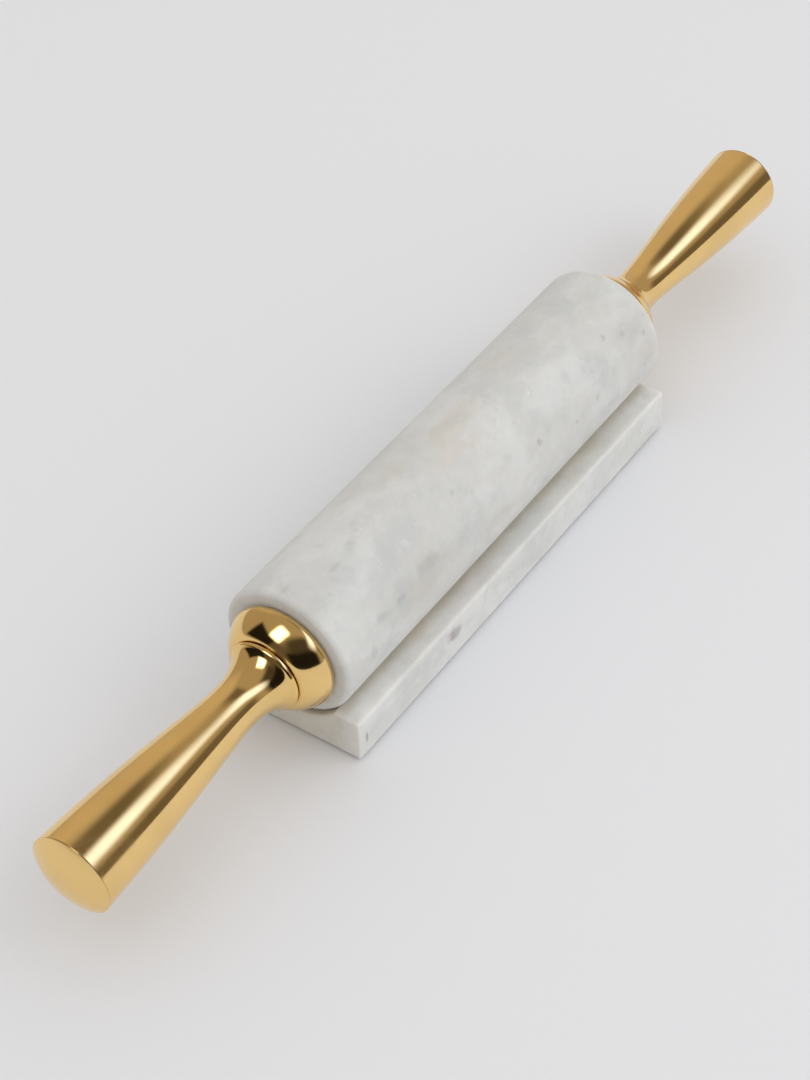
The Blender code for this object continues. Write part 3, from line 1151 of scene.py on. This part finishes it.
@dataclass
class BellCollar:
    """The puffed ring between the marble and the handle, with its hidden spigot."""

    axis: TurningAxis  # the pin's axis
    finish: bpy.types.Material  # its material
    side: Side  # the end it is on
    bulge: float = 0.0022  # distance from its seat to its widest place
    seat: float = 0.0198  # radius where it meets the marble
    nose: float = 0.0149  # radius at the seam with the handle
    crest_reach: float = 0.0034  # how far its front runs level from the widest place
    nose_reach: float = 0.0024  # how far it runs square to the axis at the nose
    bore: float = 0.0088  # radius of its bore
    spigot: float = 0.0127  # radius of its spigot
    seat_gap: float = 0.0003  # gap between its seat and the marble
    segments: int = 192  # facets round the axis

    def build(self) -> bpy.types.Object:
        """Make the collar.

        Returns:
            The finished piece.
        """
        node = f"bell_collar_{self.side.word}"
        reach = Span.of(node)
        marble_end = Span.of("marble_roller").far
        start = marble_end + self.seat_gap
        widest = (start + self.bulge, reach.radius)
        crest_pull = (widest[0] + self.crest_reach, reach.radius)
        nose_pull = (reach.far, self.nose + self.nose_reach)
        back_pull = (widest[0] - 0.6 * self.bulge, reach.radius)
        seat_pull = (start, self.seat + 0.5 * (reach.radius - self.seat))
        back = curve((start, self.seat), seat_pull, back_pull, widest, 14)
        front = curve(widest, crest_pull, nose_pull, (reach.far, self.nose), 34)
        inside = [
            Corner(reach.far, self.nose - 0.0003),
            Corner(reach.far, self.bore, EDGE),
            Corner(reach.near, self.bore, EDGE),
            Corner(reach.near, self.spigot, EDGE),
            Corner(start, self.spigot),
            Corner(start, self.seat - 0.0004),
        ]
        points = softened(back + front[1:] + inside, closed=True)
        mesh = self.axis.turn(node, points, self.side, self.segments, True)
        return add_piece(node, mesh, self.finish, Body.ROLLER)


@dataclass
class Handle:
    """One handle: the tapered grip shell and the domed cap that closes its wide end."""

    axis: TurningAxis  # the pin's axis
    finish: bpy.types.Material  # its material
    side: Side  # the end it is on
    base: float = 0.0146  # radius at the base
    band: float = 0.0016  # length of the straight band at the base
    flare: Point = (0.0016, 0.0030)  # how far the flare's curve pulls out and in from the band
    waist: Point = (0.0175, 0.0093)  # distance of the waist from the base, and its radius
    waist_pull: Point = (0.0080, 0.0140)  # length of the curve's pull before and after the waist
    swell: Point = (0.0540, 0.0142)  # control point of the swelling towards the rim
    wall: float = 0.0020  # thickness of the shell
    edge: float = 0.00022  # radius that softens the edges
    cap_spigot: float = 0.0040  # depth of the cap's spigot
    cap_wall: float = 0.0022  # thickness of the spigot
    fit_gap: float = 0.0003  # gap between the cap and the grip
    segments: int = 192  # facets round the axis

    def build(self) -> list[bpy.types.Object]:
        """Make the grip and its cap.

        Returns:
            Both pieces.
        """
        return [self._build_grip(), self._build_cap()]

    def _build_grip(self) -> bpy.types.Object:
        """Make the tapered shell.

        Returns:
            The finished piece.
        """
        node = f"handle_grip_{self.side.word}"
        reach = Span.of(node)
        start = reach.near
        waist = (start + self.waist[0], self.waist[1])
        rim = (reach.far, reach.radius)
        flare = curve(
            (start + self.band, self.base),
            (start + self.band + self.flare[0], self.base - self.flare[1]),
            (waist[0] - self.waist_pull[0], waist[1]),
            waist,
            30,
        )
        swell = (start + self.swell[0], self.swell[1])
        swelling = curve(waist, (waist[0] + self.waist_pull[1], waist[1]), swell, rim, 60)
        skin = flare + swelling[1:-1]
        outer = [Corner(start, self.base, self.edge), *skin, Corner(*rim, self.edge * 0.7)]
        inner_rim = Corner(rim[0], rim[1] - self.wall, self.edge)
        inner = [Corner(spot.along, spot.out - self.wall) for spot in reversed(skin[::6])]
        inner_base = Corner(start, self.base - self.wall, self.edge)
        points = softened([*outer, inner_rim, *inner, inner_base], closed=True)
        mesh = self.axis.turn(node, points, self.side, self.segments, True)
        return add_piece(node, mesh, self.finish, Body.CORE)

    def _build_cap(self) -> bpy.types.Object:
        """Make the domed cap with its hollow spigot.

        Returns:
            The finished piece.
        """
        node = f"end_cap_{self.side.word}"
        reach = Span.of(node)
        start = reach.near + self.cap_spigot + self.fit_gap
        height = reach.far - start
        ball = (reach.radius**2 + height**2) / (2 * height)
        rim_angle = math.degrees(math.asin(reach.radius / ball))
        dome = arc((reach.far - ball, 0.0), ball, rim_angle, 0, 40)
        spigot = Span.of(f"handle_grip_{self.side.word}").radius - self.wall - 2 * self.fit_gap
        recess = spigot - self.cap_wall
        corners = [
            Corner(start, 0.0),
            Corner(start, recess, EDGE),
            Corner(reach.near, recess, EDGE),
            Corner(reach.near, spigot, EDGE),
            Corner(start - self.fit_gap * 0.8, spigot),
            Corner(dome[0].along - self.fit_gap * 0.8, dome[0].out, self.fit_gap * 0.3),
            Corner(dome[0].along, dome[0].out, self.fit_gap * 0.4),
            *dome[1:],
        ]
        mesh = self.axis.turn(node, softened(corners, closed=False), self.side, self.segments, False)
        return add_piece(node, mesh, self.finish, Body.CORE)


@dataclass
class CradleStand:
    """The marble slab with its round groove, and the pads under it."""

    axis: TurningAxis  # the pin's axis
    finish: bpy.types.Material  # its marble
    pad_finish: bpy.types.Material  # the pads' material
    groove_play: float = 0.0008  # how much the groove's radius exceeds the roller's
    seat_gap: float = 0.0003  # gap between the roller and the groove's floor
    arris: float = 0.0013  # radius of its long upper edges
    base_edge: float = 0.0010  # radius of its long lower edges
    lip: float = 0.0010  # radius of the groove's edges
    end_round: float = 0.0008  # radius of the edges round its ends
    step: float = 0.0014  # spacing of points over its faces

    def build(self) -> list[bpy.types.Object]:
        """Make the slab and its pads.

        Returns:
            Every piece of the stand.
        """
        return [self._build_slab(), *self._build_pads()]

    def _section(self) -> list[Point]:
        """Draw the slab's cross-section as (across, up) points, counter-clockwise.

        Returns:
            Points of the closed section, evenly spread over its flats.
        """
        low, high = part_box("marble_stand")
        roller = Span.of("marble_roller").radius
        groove = roller + self.groove_play
        groove_height = self.axis.height - roller - self.seat_gap + groove
        half_angle = math.degrees(math.acos((groove_height - high.z) / groove))
        hollow = arc((0.0, groove_height), groove, 270 + half_angle, 270 - half_angle, 40)
        raw = [
            Corner(low.y, low.z, self.base_edge),
            Corner(high.y, low.z, self.base_edge),
            Corner(high.y, high.z, self.arris),
            Corner(hollow[0].along, hollow[0].out, self.lip),
            *hollow[1:-1],
            Corner(hollow[-1].along, hollow[-1].out, self.lip),
            Corner(low.y, high.z, self.arris),
        ]
        return self._spread(softened(raw, closed=True, steps=7))

    def _spread(self, points: Sequence[Point]) -> list[Point]:
        """Add points along stretches longer than the step.

        Args:
            points: A closed outline.

        Returns:
            The outline with its long stretches split up.
        """
        spread: list[Point] = []
        for index, start in enumerate(points):
            end = points[(index + 1) % len(points)]
            parts = max(1, math.ceil(math.dist(start, end) / self.step))
            for part in range(parts):
                share = part / parts
                spread.append(tuple(near + (far - near) * share for near, far in zip(start, end)))
        return spread

    @staticmethod
    def _inward(points: Sequence[Point]) -> list[Point]:
        """Find the direction into the section at each of its points.

        Args:
            points: A closed, counter-clockwise outline.

        Returns:
            Unit directions.
        """
        directions = []
        count = len(points)
        for index in range(count):
            before, after = Vector(points[index - 1]), Vector(points[(index + 1) % count])
            run = (after - before).normalized()
            directions.append((-run.y, run.x))
        return directions

    def _stations(self, start: float, end: float) -> list[tuple[float, float]]:
        """List the places along X where the section is laid, with its inset at each.

        Args:
            start: The slab's lowest X.
            end: The slab's highest X.

        Returns:
            (place, inset) pairs, rounded in at both ends.
        """
        rounding = 8
        lead = []
        for step in range(rounding, -1, -1):
            angle = math.pi / 2 * step / rounding
            along, inset = (self.end_round * (1 - part) for part in (math.sin(angle), math.cos(angle)))
            lead.append((start + along, inset))
        inner_start, inner_end = start + self.end_round, end - self.end_round
        count = math.ceil((inner_end - inner_start) / self.step)
        middle = [(inner_start + (inner_end - inner_start) * step / count, 0.0) for step in range(1, count)]
        tail = [(start + end - place, inset) for place, inset in reversed(lead)]
        return lead + middle + tail

    def _build_slab(self) -> bpy.types.Object:
        """Sweep the section along X with rounded ends and closed faces.

        Returns:
            The finished piece.
        """
        low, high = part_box("marble_stand")
        section = self._section()
        inward = self._inward(section)
        count = len(section)
        vertices: list[Vector] = []
        stations = self._stations(low.x, high.x)
        guard = self.end_round + 0.0001
        rings = [(stations[0][0], guard), *stations, (stations[-1][0], guard)]
        for place, inset in rings:
            for (across, up), (in_across, in_up) in zip(section, inward):
                spot = Vector((place, across + in_across * inset, up + in_up * inset))
                vertices.append(spot - self._bruise(spot, low, high))
        faces = ring_faces(len(rings), count, closed=False)
        faces.append(tuple(range(count)))
        last = (len(rings) - 1) * count
        faces.append(tuple(last + index for index in range(count)))
        mesh = mesh_from("marble_stand", vertices, faces)
        return add_piece("marble_stand", mesh, self.finish, Body.STAND)

    def _bruise(self, spot: Vector, low: Vector, high: Vector) -> Vector:
        """Find how far a place on the slab's upper edges is worn in.

        Args:
            spot: The place.
            low: The slab's lowest corner.
            high: The slab's highest corner.

        Returns:
            The wear, to be taken from the place.
        """
        reach = 2.5 * MILLIMETRE
        side = max(0.0, 1 - min(spot.y - low.y, high.y - spot.y) / reach)
        top = max(0.0, 1 - (high.z - spot.z) / reach)
        end = max(0.0, 1 - min(spot.x - low.x, high.x - spot.x) / reach)
        amount = max(side * top, side * end, top * end)
        if amount <= 0:
            return Vector()
        depth = max(0.0, noise.noise(spot * 160) - 0.18) * 0.5 * MILLIMETRE * amount
        outward = Vector((0.0, math.copysign(1.0, spot.y), 1.0)).normalized()
        return outward * depth

    def _build_pads(self) -> list[bpy.types.Object]:
        """Make the four round pads.

        Returns:
            The pads.
        """
        pads = []
        for end in Side:
            for edge in ("front", "back"):
                node = f"stand_foot_{end.word}_{edge}"
                low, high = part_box(node)
                centre, radius = (low + high) / 2, (high.x - low.x) / 2
                corners = [
                    Corner(low.z, 0.0),
                    Corner(low.z, radius, 0.00025),
                    Corner(high.z, radius, 0.00015),
                    Corner(high.z, 0.0),
                ]
                level = TurningAxis(0.0)
                mesh = level.turn(node, softened(corners, closed=False), Side.RIGHT, 64, False)
                upright = Matrix.Rotation(-math.pi / 2, 4, "Y")
                mesh.transform(Matrix.Translation((centre.x, centre.y, 0.0)) @ upright)
                pads.append(add_piece(node, mesh, self.pad_finish, Body.STAND))
        return pads


@dataclass
class AxleCore:
    """The hidden works: threaded axle, bushes, washers, nuts and neck inserts."""

    axis: TurningAxis  # the pin's axis
    steel: bpy.types.Material  # finish of the metal pieces
    nylon: bpy.types.Material  # finish of the bushes
    pitch: float = 0.00125  # thread pitch
    thread_depth: float = 0.0005  # depth of the thread
    hole: float = 0.0043  # radius of every hole that the axle passes
    engagement: float = 0.058  # length of axle that is threaded at each end, past the handle's base
    band: float = 0.0013  # length of the insert's flange
    barrel: float = 0.0070  # radius of the insert's sleeve
    chamfer: float = 0.0006  # bevel at the axle's ends
    segments: int = 64  # facets round the axis

    def build(self) -> list[bpy.types.Object]:
        """Make every hidden piece.

        Returns:
            The pieces.
        """
        pieces = [self._build_axle()]
        for side in Side:
            pieces.append(self._build_ring("nylon_bush", side, self.nylon, Body.ROLLER))
            pieces.append(self._build_ring("thrust_washer", side, self.steel, Body.CORE))
            pieces.append(self._build_nut(side))
            pieces.append(self._build_insert(side))
        return pieces

    def _build_axle(self) -> bpy.types.Object:
        """Make the rod, with a helical thread cut into both ends.

        Returns:
            The finished piece.
        """
        reach = Span.of("axle_rod")
        end, radius = reach.far, reach.radius
        thread_start = end - self.engagement
        thread_end = end - self.chamfer
        rows = math.ceil(self.engagement / (self.pitch / 6))
        run = thread_end - thread_start
        half = [(thread_start + run * row / rows, radius) for row in range(rows + 1)]
        half += [(end, radius - self.chamfer), (end, 0.0)]
        points = [(-along, out) for along, out in reversed(half)] + half

        def thread(along: float, out: float, angle: float) -> float:
            """Find how deep the thread is at one place.

            Args:
                along: Distance along the axis.
                out: Distance from the axis.
                angle: Angle round the axis.

            Returns:
                The change of radius, 0 or less.
            """
            into = min(abs(along) - thread_start, thread_end - abs(along))
            if out < radius or into <= 0:
                return 0.0
            turn = (along / self.pitch - angle / math.tau) % 1.0
            fade = min(1.0, into / self.pitch)
            return -self.thread_depth * fade * (1 - abs(2 * turn - 1))

        mesh = self.axis.turn("axle_rod", points, Side.RIGHT, self.segments, False, thread)
        return add_piece("axle_rod", mesh, self.steel, Body.CORE)

    def _build_ring(
        self, kind: str, side: Side, finish: bpy.types.Material, body: Body
    ) -> bpy.types.Object:
        """Make a plain ring with softened edges.

        Args:
            kind: Its node's name without the side.
            side: The end it is on.
            finish: Its material.
            body: The body it rides on.

        Returns:
            The finished piece.
        """
        node = f"{kind}_{side.word}"
        reach = Span.of(node)
        corners = [
            Corner(reach.near, reach.radius, EDGE),
            Corner(reach.far, reach.radius, EDGE),
            Corner(reach.far, self.hole, 0.0002),
            Corner(reach.near, self.hole, 0.0002),
        ]
        mesh = self.axis.turn(node, softened(corners, closed=True), side, self.segments, True)
        return add_piece(node, mesh, finish, body)

    def _build_nut(self, side: Side) -> bpy.types.Object:
        """Make a hexagon nut with chamfered corners.

        Args:
            side: The end it is on.

        Returns:
            The finished piece.
        """
        node = f"lock_nut_{side.word}"
        low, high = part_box(node)
        reach = Span.of(node)
        flats = min(high.y - low.y, high.z - low.z) / 2
        half_sixth = math.radians(30)
        corner, slope = flats / math.cos(half_sixth), math.tan(half_sixth)
        depth = (corner - flats) * slope
        rows = [0.0, 0.25, 0.5, 0.75, 1.0]
        chamfer_in = [(reach.near + depth * row, corner) for row in rows]
        chamfer_out = [(reach.far - depth * row, corner) for row in reversed(rows)]
        points = [(reach.near, flats * 0.97), *chamfer_in, *chamfer_out, (reach.far, flats * 0.97)]
        points += [(reach.far, self.hole), (reach.near, self.hole)]
        corner_angle = 0.0 if high.y - low.y > high.z - low.z else half_sixth

        def hexagon(along: float, out: float, angle: float) -> float:
            """Bring a place on the round skin in to the nut's flats and chamfers.

            Args:
                along: Distance along the axis.
                out: Distance from the axis.
                angle: Angle round the axis.

            Returns:
                The change of radius.
            """
            if out < corner:
                return 0.0
            sixth = math.tau / 6
            swing = (angle - corner_angle + sixth / 2) % sixth - sixth / 2
            face = flats / math.cos(sixth / 2 - abs(swing))
            room = min(along - reach.near, reach.far - along)
            cone = flats * 0.985 + room / slope
            return min(face, cone) - out

        mesh = self.axis.turn(node, points, side, 120, True, hexagon)
        mesh.set_sharp_from_angle(angle=math.radians(25))
        return add_piece(node, mesh, self.steel, Body.CORE)

    def _build_insert(self, side: Side) -> bpy.types.Object:
        """Make the flanged sleeve in the handle's neck.

        Args:
            side: The end it is on.

        Returns:
            The finished piece.
        """
        node = f"neck_insert_{side.word}"
        reach = Span.of(node)
        flange_end = reach.near + self.band - 0.0003
        corners = [
            Corner(reach.near, reach.radius, 0.0002),
            Corner(flange_end, reach.radius, 0.0002),
            Corner(flange_end, self.barrel, EDGE),
            Corner(reach.far, self.barrel, 0.0005),
            Corner(reach.far, self.hole, EDGE),
            Corner(reach.near, self.hole, EDGE),
        ]
        mesh = self.axis.turn(node, softened(corners, closed=True), side, self.segments, True)
        return add_piece(node, mesh, self.steel, Body.CORE)


def facing(azimuth: float, elevation: float) -> tuple[Vector, Vector, Vector]:
    """Find the axes of something that stands round the object and faces it.

    Args:
        azimuth: Degrees round the object, 0 on the -Y side and 90 on the +X side.
        elevation: Degrees above the floor.

    Returns:
        Its level axis, its upward axis and the direction from the object to it.
    """
    turn, rise = math.radians(azimuth), math.radians(elevation)
    away = Vector((math.sin(turn) * math.cos(rise), -math.cos(turn) * math.cos(rise), math.sin(rise)))
    level = Vector((0, 0, 1)).cross(away).normalized()
    return level, away.cross(level), away


@dataclass(frozen=True)
class Viewpoint:
    """Where the camera stands and looks."""

    azimuth: float = -53.69  # degrees round the object, 0 looking along +Y
    elevation: float = 44.15  # degrees above the floor
    roll: float = 2.64  # degrees that the camera leans
    distance: float = 0.8471  # distance from the point it looks at
    lens: float = 76.63  # focal length in millimetres
    aim: Point = (-0.0382, -0.0030)  # offset along X and Y of the point looked at, from the pin's middle

    def place(self, axis_height: float) -> bpy.types.Object:
        """Make the camera.

        Args:
            axis_height: Height of the pin's axis.

        Returns:
            The camera.
        """
        level, upward, back = facing(self.azimuth, self.elevation)
        lean = math.radians(self.roll)
        right = level * math.cos(lean) - upward * math.sin(lean)
        top = back.cross(right)
        target = Vector((*self.aim, axis_height))
        data = bpy.data.cameras.new("camera")
        data.lens = self.lens
        data.clip_start = 0.05
        data.dof.use_dof = False
        camera = linked("camera", data)
        turned = Matrix((right, top, back)).transposed().to_4x4()
        camera.matrix_world = Matrix.Translation(target + back * self.distance) @ turned
        return camera


@dataclass(frozen=True)
class SoftLight:
    """A rectangular soft light."""

    name: str  # its name
    azimuth: float  # degrees round the object, 0 on the -Y side and 90 on the +X side
    elevation: float  # degrees above the floor
    distance: float  # distance from the object
    size: Point  # width and height
    power: float  # power in watts
    colour: Colour = (1.0, 1.0, 1.0)  # its colour

    def place(self) -> bpy.types.Object:
        """Make the light, facing the object.

        Returns:
            The light.
        """
        away = facing(self.azimuth, self.elevation)[2]
        data = bpy.data.lights.new(self.name, "AREA")
        data.shape = "RECTANGLE"
        data.size, data.size_y = self.size
        data.energy = self.power
        data.color = self.colour
        light = linked(self.name, data)
        light.location = away * self.distance
        light.rotation_mode = "QUATERNION"
        light.rotation_quaternion = away.to_track_quat("Z", "Y")
        light.visible_glossy = False
        return light


@dataclass(frozen=True)
class SkyPanel:
    """A soft-edged rectangle in the surroundings, such as a window or a dark doorway."""

    azimuth: float  # degrees round the object, 0 on the -Y side and 90 on the +X side
    elevation: float  # degrees above the floor
    reach: Point  # half angles across and up, in degrees
    colour: Colour  # its colour
    level: float  # its brightness
    soft: float = 0.35  # share of its half size over which it fades
    tilt: float = 0.0  # degrees that it leans

    def lay(self, wire: Wiring, direction: Socket, behind: Value) -> Socket:
        """Lay the panel over what is behind it.

        Args:
            wire: The world's wiring.
            direction: The direction looked in.
            behind: Colour of the surroundings so far.

        Returns:
            The colour with the panel on it.
        """
        level, upright, away = facing(self.azimuth, self.elevation)
        lean = math.radians(self.tilt)
        across = level * math.cos(lean) + upright * math.sin(lean)
        upward = upright * math.cos(lean) - level * math.sin(lean)
        ahead = wire.vector("DOT_PRODUCT", direction, away)
        shown: Value = wire.math("GREATER_THAN", ahead, 0.05)
        depth = wire.math("MAXIMUM", ahead, 0.05)
        for ray, half in ((across, self.reach[0]), (upward, self.reach[1])):
            edge = math.tan(math.radians(half))
            aside = wire.math("DIVIDE", wire.vector("DOT_PRODUCT", direction, ray), depth)
            limits = (edge * (1 - self.soft), edge * (1 + self.soft))
            shown = wire.times(shown, wire.span(wire.math("ABSOLUTE", aside), *limits, 1.0, 0.0))
        return wire.blend(shown, behind, tuple(part * self.level for part in self.colour))


WARM_GREY = (1.0, 0.86, 0.68)
COOL_WHITE = (0.97, 0.99, 1.03)
BLUE_WHITE = (0.80, 0.97, 1.50)


@dataclass
class Studio:
    """Floor, lights, surroundings and camera."""

    view: Viewpoint = field(default_factory=Viewpoint)  # the camera's place
    lights: tuple[SoftLight, ...] = (SoftLight("key", 20.0, 42.0, 1.5, (0.9, 0.6), 2.2),)  # the soft lights
    room: Colour = (0.40, 0.345, 0.275)  # the plain surroundings' colour
    # what stands out in the surroundings, the nearest last
    panels: tuple[SkyPanel, ...] = (
        SkyPanel(130, 24, (26, 26), WARM_GREY, 0.56, 0.5),
        SkyPanel(84, 59, (18, 6), WARM_GREY, 0.15, 0.6),
        SkyPanel(-88, 22, (30, 24), WARM_GREY, 0.12, 0.5),
        SkyPanel(-34, 44, (26, 17), WARM_GREY, 0.06, 0.5),
        SkyPanel(38, 8, (16, 13), WARM_GREY, 0.15, 0.5),
        SkyPanel(-131, 27, (23, 20), WARM_GREY, 0.012, 0.20),
        SkyPanel(-34, 14, (36, 19), WARM_GREY, 0.008, 0.30),
        SkyPanel(-100, 61, (11, 15), COOL_WHITE, 4.0, 0.40, -14.0),
        SkyPanel(30, 42, (24, 10), BLUE_WHITE, 1.65, 0.65, 14.0),
    )
    # direction that the plain light is brightest in
    bright_from: tuple[float, float, float] = (0.45, -0.89, 0.0)
    bright_side: Colour = (1.06, 1.07, 1.10)  # plain light from that side
    dim_side: Colour = (0.70, 0.675, 0.655)  # plain light from the other side
    # how strong the plain light is level with the floor, and from straight above
    overhead: Point = (0.84, 1.14)
    behind: Colour = (0.72, 0.72, 0.73)  # what shows plainly behind the object
    floor_tone: Colour = (0.767, 0.772, 0.781)  # the floor's colour
    floor_size: float = 12.0  # side of the floor

    def build(self, axis_height: float) -> None:
        """Set up the studio.

        Args:
            axis_height: Height of the pin's axis.
        """
        bpy.context.scene.camera = self.view.place(axis_height)
        for light in self.lights:
            light.place()
        self._build_world()
        self._build_floor()
        bpy.context.scene.view_settings.view_transform = "Standard"
        LOG.info("studio: %d lights, %d panels", len(self.lights), len(self.panels))

    def _build_world(self) -> None:
        """Make the surroundings: soft light, a room with windows for gloss, plain pale behind."""
        world = bpy.data.worlds.new("studio")
        bpy.context.scene.world = world
        world.use_nodes = True
        wire = Wiring(world.node_tree)
        background = world.node_tree.nodes["Background"]
        direction = wire.add("ShaderNodeTexCoord").outputs["Generated"]
        colour: Value = self.room
        for panel in self.panels:
            colour = panel.lay(wire, direction, colour)
        towards = wire.vector("DOT_PRODUCT", direction, self.bright_from)
        light = wire.blend(wire.span(towards, -1.0, 1.0), self.dim_side, self.bright_side)
        light = wire.scaled(light, wire.span(wire.channels(direction)[2], 0.0, 1.0, *self.overhead))
        path = wire.add("ShaderNodeLightPath")
        colour = wire.blend(path.outputs["Is Glossy Ray"], light, colour)
        colour = wire.blend(path.outputs["Is Camera Ray"], colour, self.behind)
        wire.feed(background.inputs["Color"], colour)
        background.inputs["Strength"].default_value = 1.0

    def _build_floor(self) -> None:
        """Make the floor."""
        half = self.floor_size / 2
        corners = [Vector((x * half, y * half, 0.0)) for x, y in ((-1, -1), (1, -1), (1, 1), (-1, 1))]
        mesh = bpy.data.meshes.new("floor")
        mesh.from_pydata([tuple(corner) for corner in corners], [], [(0, 1, 2, 3)])
        material = bpy.data.materials.new("Pale floor")
        material.use_nodes = True
        shader = material.node_tree.nodes["Principled BSDF"]
        shader.inputs["Base Color"].default_value = (*self.floor_tone, 1.0)
        shader.inputs["Roughness"].default_value = 0.7
        object_from("floor", mesh, material)


ROLLER_MARKS = (
    StoneMark(MarkKind.WARM, (2, 1, 65), (24, 9, 6), 0.21, 0.5),
    StoneMark(MarkKind.WARM, (-34, 4, 64), (16, 6, 5), 0.15, 0.6),
    StoneMark(MarkKind.OLIVE, (-6, 3, 65), (7, 4, 4), 0.15, 0.6),
    StoneMark(MarkKind.GREY, (-62, -25, 47), (36, 6, 9), 0.16, 0.7),
    StoneMark(MarkKind.GREY, (-94, -6, 64), (27, 14, 8), 0.19, 0.5),
    StoneMark(MarkKind.GREY, (-54, -24, 50), (9, 4, 5), 0.18, 0.6),
    StoneMark(MarkKind.GREY, (58, -9, 63), (9, 5, 5), 0.13, 0.6),
    StoneMark(MarkKind.GREY, (66, -20, 56), (13, 7, 7), 0.14, 0.6),
    StoneMark(MarkKind.PLUM, (92, -20, 55), (13, 7, 8), 0.13, 0.6),
    StoneMark(MarkKind.PLUM, (79, -17, 59), (1.9, 1.8, 1.8), 0.26, 0.9),
    StoneMark(MarkKind.DARK, (88, -20, 56), (2.2, 2.0, 2.0), 0.12, 1.0),
    StoneMark(MarkKind.PLUM, (99, -24, 51), (1.5, 1.8, 1.8), 0.24, 0.9),
    StoneMark(MarkKind.PLUM, (61, -26, 46), (2.2, 2.0, 2.0), 0.22, 0.9),
    StoneMark(MarkKind.DARK, (45, -26, 45), (1.3, 1.3, 1.3), 0.19, 0.8),
    StoneMark(MarkKind.PLUM, (21.6, -23.6, 51), (2.1, 2.0, 2.6), 0.31, 0.8),
    StoneMark(MarkKind.DARK, (-26.6, -16.5, 59.4), (1.7, 1.4, 1.2), 0.14, 0.9),
    StoneMark(MarkKind.DARK, (-19, -20, 56), (1.2, 1.2, 1.2), 0.12, 0.9),
    StoneMark(MarkKind.GREY, (-72, -25, 48), (4.2, 1.8, 2.0), 0.25, 0.9),
    StoneMark(MarkKind.GREY, (-83.5, -25, 49), (6.0, 1.8, 2.6), 0.22, 1.0),
    StoneMark(MarkKind.GREY, (-92, -27, 40), (2.6, 1.6, 4.0), 0.22, 1.0),
    StoneMark(MarkKind.OLIVE, (-72, -4, 65), (4.0, 2.2, 2.0), 0.36, 0.9),
    StoneMark(MarkKind.GREY, (-85, -6, 64.5), (4.0, 1.4, 1.5), 0.21, 1.0),
    StoneMark(MarkKind.OLIVE, (-103, 1.5, 65), (3.6, 1.5, 1.5), 0.30, 1.0),
    StoneMark(MarkKind.PALE, (32.6, -12, 62.2), (1.2, 1.0, 1.0), 0.60),
    StoneMark(MarkKind.PALE, (-88, 8, 63), (1.4, 1.1, 1.0), 0.60),
)

ROLLER_CRACKS = (
    HealedCrack(
        ((18, -1, 65), (18.4, -8, 63.8), (11.7, -11.7, 62.4), (-3.5, -15, 60.6), (-9, -17, 59)), 0.42, 0.6
    ),
    HealedCrack(((-70.6, -11.3, 62.6), (-70.4, -16.6, 59.4)), 0.40, 0.5),
)

STAND_MARKS = (
    StoneMark(MarkKind.PLUM, (-48, -31, 13), (7, 4, 5), 0.50, 0.7),
    StoneMark(MarkKind.DARK, (-49, -31, 12), (2.0, 2, 2.4), 0.20, 0.6),
    StoneMark(MarkKind.DARK, (-104.5, -31, 9.5), (1.0, 2.0, 3.2), 0.50, 0.4),
    StoneMark(MarkKind.PLUM, (-30, -27, 19), (30, 7, 5), 0.14, 0.6),
    StoneMark(MarkKind.OLIVE, (60, -26, 19), (36, 5, 4), 0.22, 0.6),
)

STAND_CRACKS = (
    HealedCrack(((-78, -24, 19.3), (-72, -30.6, 18.6), (-69, -31, 13)), 0.40, 0.5),
    HealedCrack(((-24, -25, 19.3), (-28, -30.6, 18.6), (-31, -31, 14)), 0.40, 0.5),
)


def main() -> None:
    """Build the whole model and the studio around it."""
    logging.basicConfig(level=logging.INFO, format="%(name)s: %(message)s")
    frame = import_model()
    spin = next(joint for joint in frame["joints"] if joint["name"] == "roller_spin")
    axis = TurningAxis(height=spin["pos_m"][2], across=spin["pos_m"][1])

    finishes = (
        MarbleFinish("Roller marble", ROLLER_MARKS, ROLLER_CRACKS, shade=0.92),
        # the stand's groove lips get painted contact shade
        MarbleFinish("Stand marble", STAND_MARKS, STAND_CRACKS, shift=(0.4, 0.2, 0.1), shaded_lips=21.0),
        PolishedBrassFinish(),
        TurnedSteelFinish(),
        MouldedFinish("Natural nylon", (0.72, 0.70, 0.63), (0.50, 0.47, 0.40), 0.42, 1800.0),
        MouldedFinish("Soft grey pad", (0.24, 0.24, 0.235), (0.42, 0.41, 0.39), 0.75, 2600.0),
    )
    effects = Effects()
    roller_marble, stand_marble, brass, steel, nylon, pad = (finish.build(effects) for finish in finishes)

    MarbleRoller(axis, roller_marble).build()
    for side in Side:
        BellCollar(axis, brass, side).build()
        Handle(axis, brass, side).build()
    CradleStand(axis, stand_marble, pad).build()
    AxleCore(axis, steel, nylon).build()
    Studio().build(axis.height)


if __name__ == "__main__":
    main()
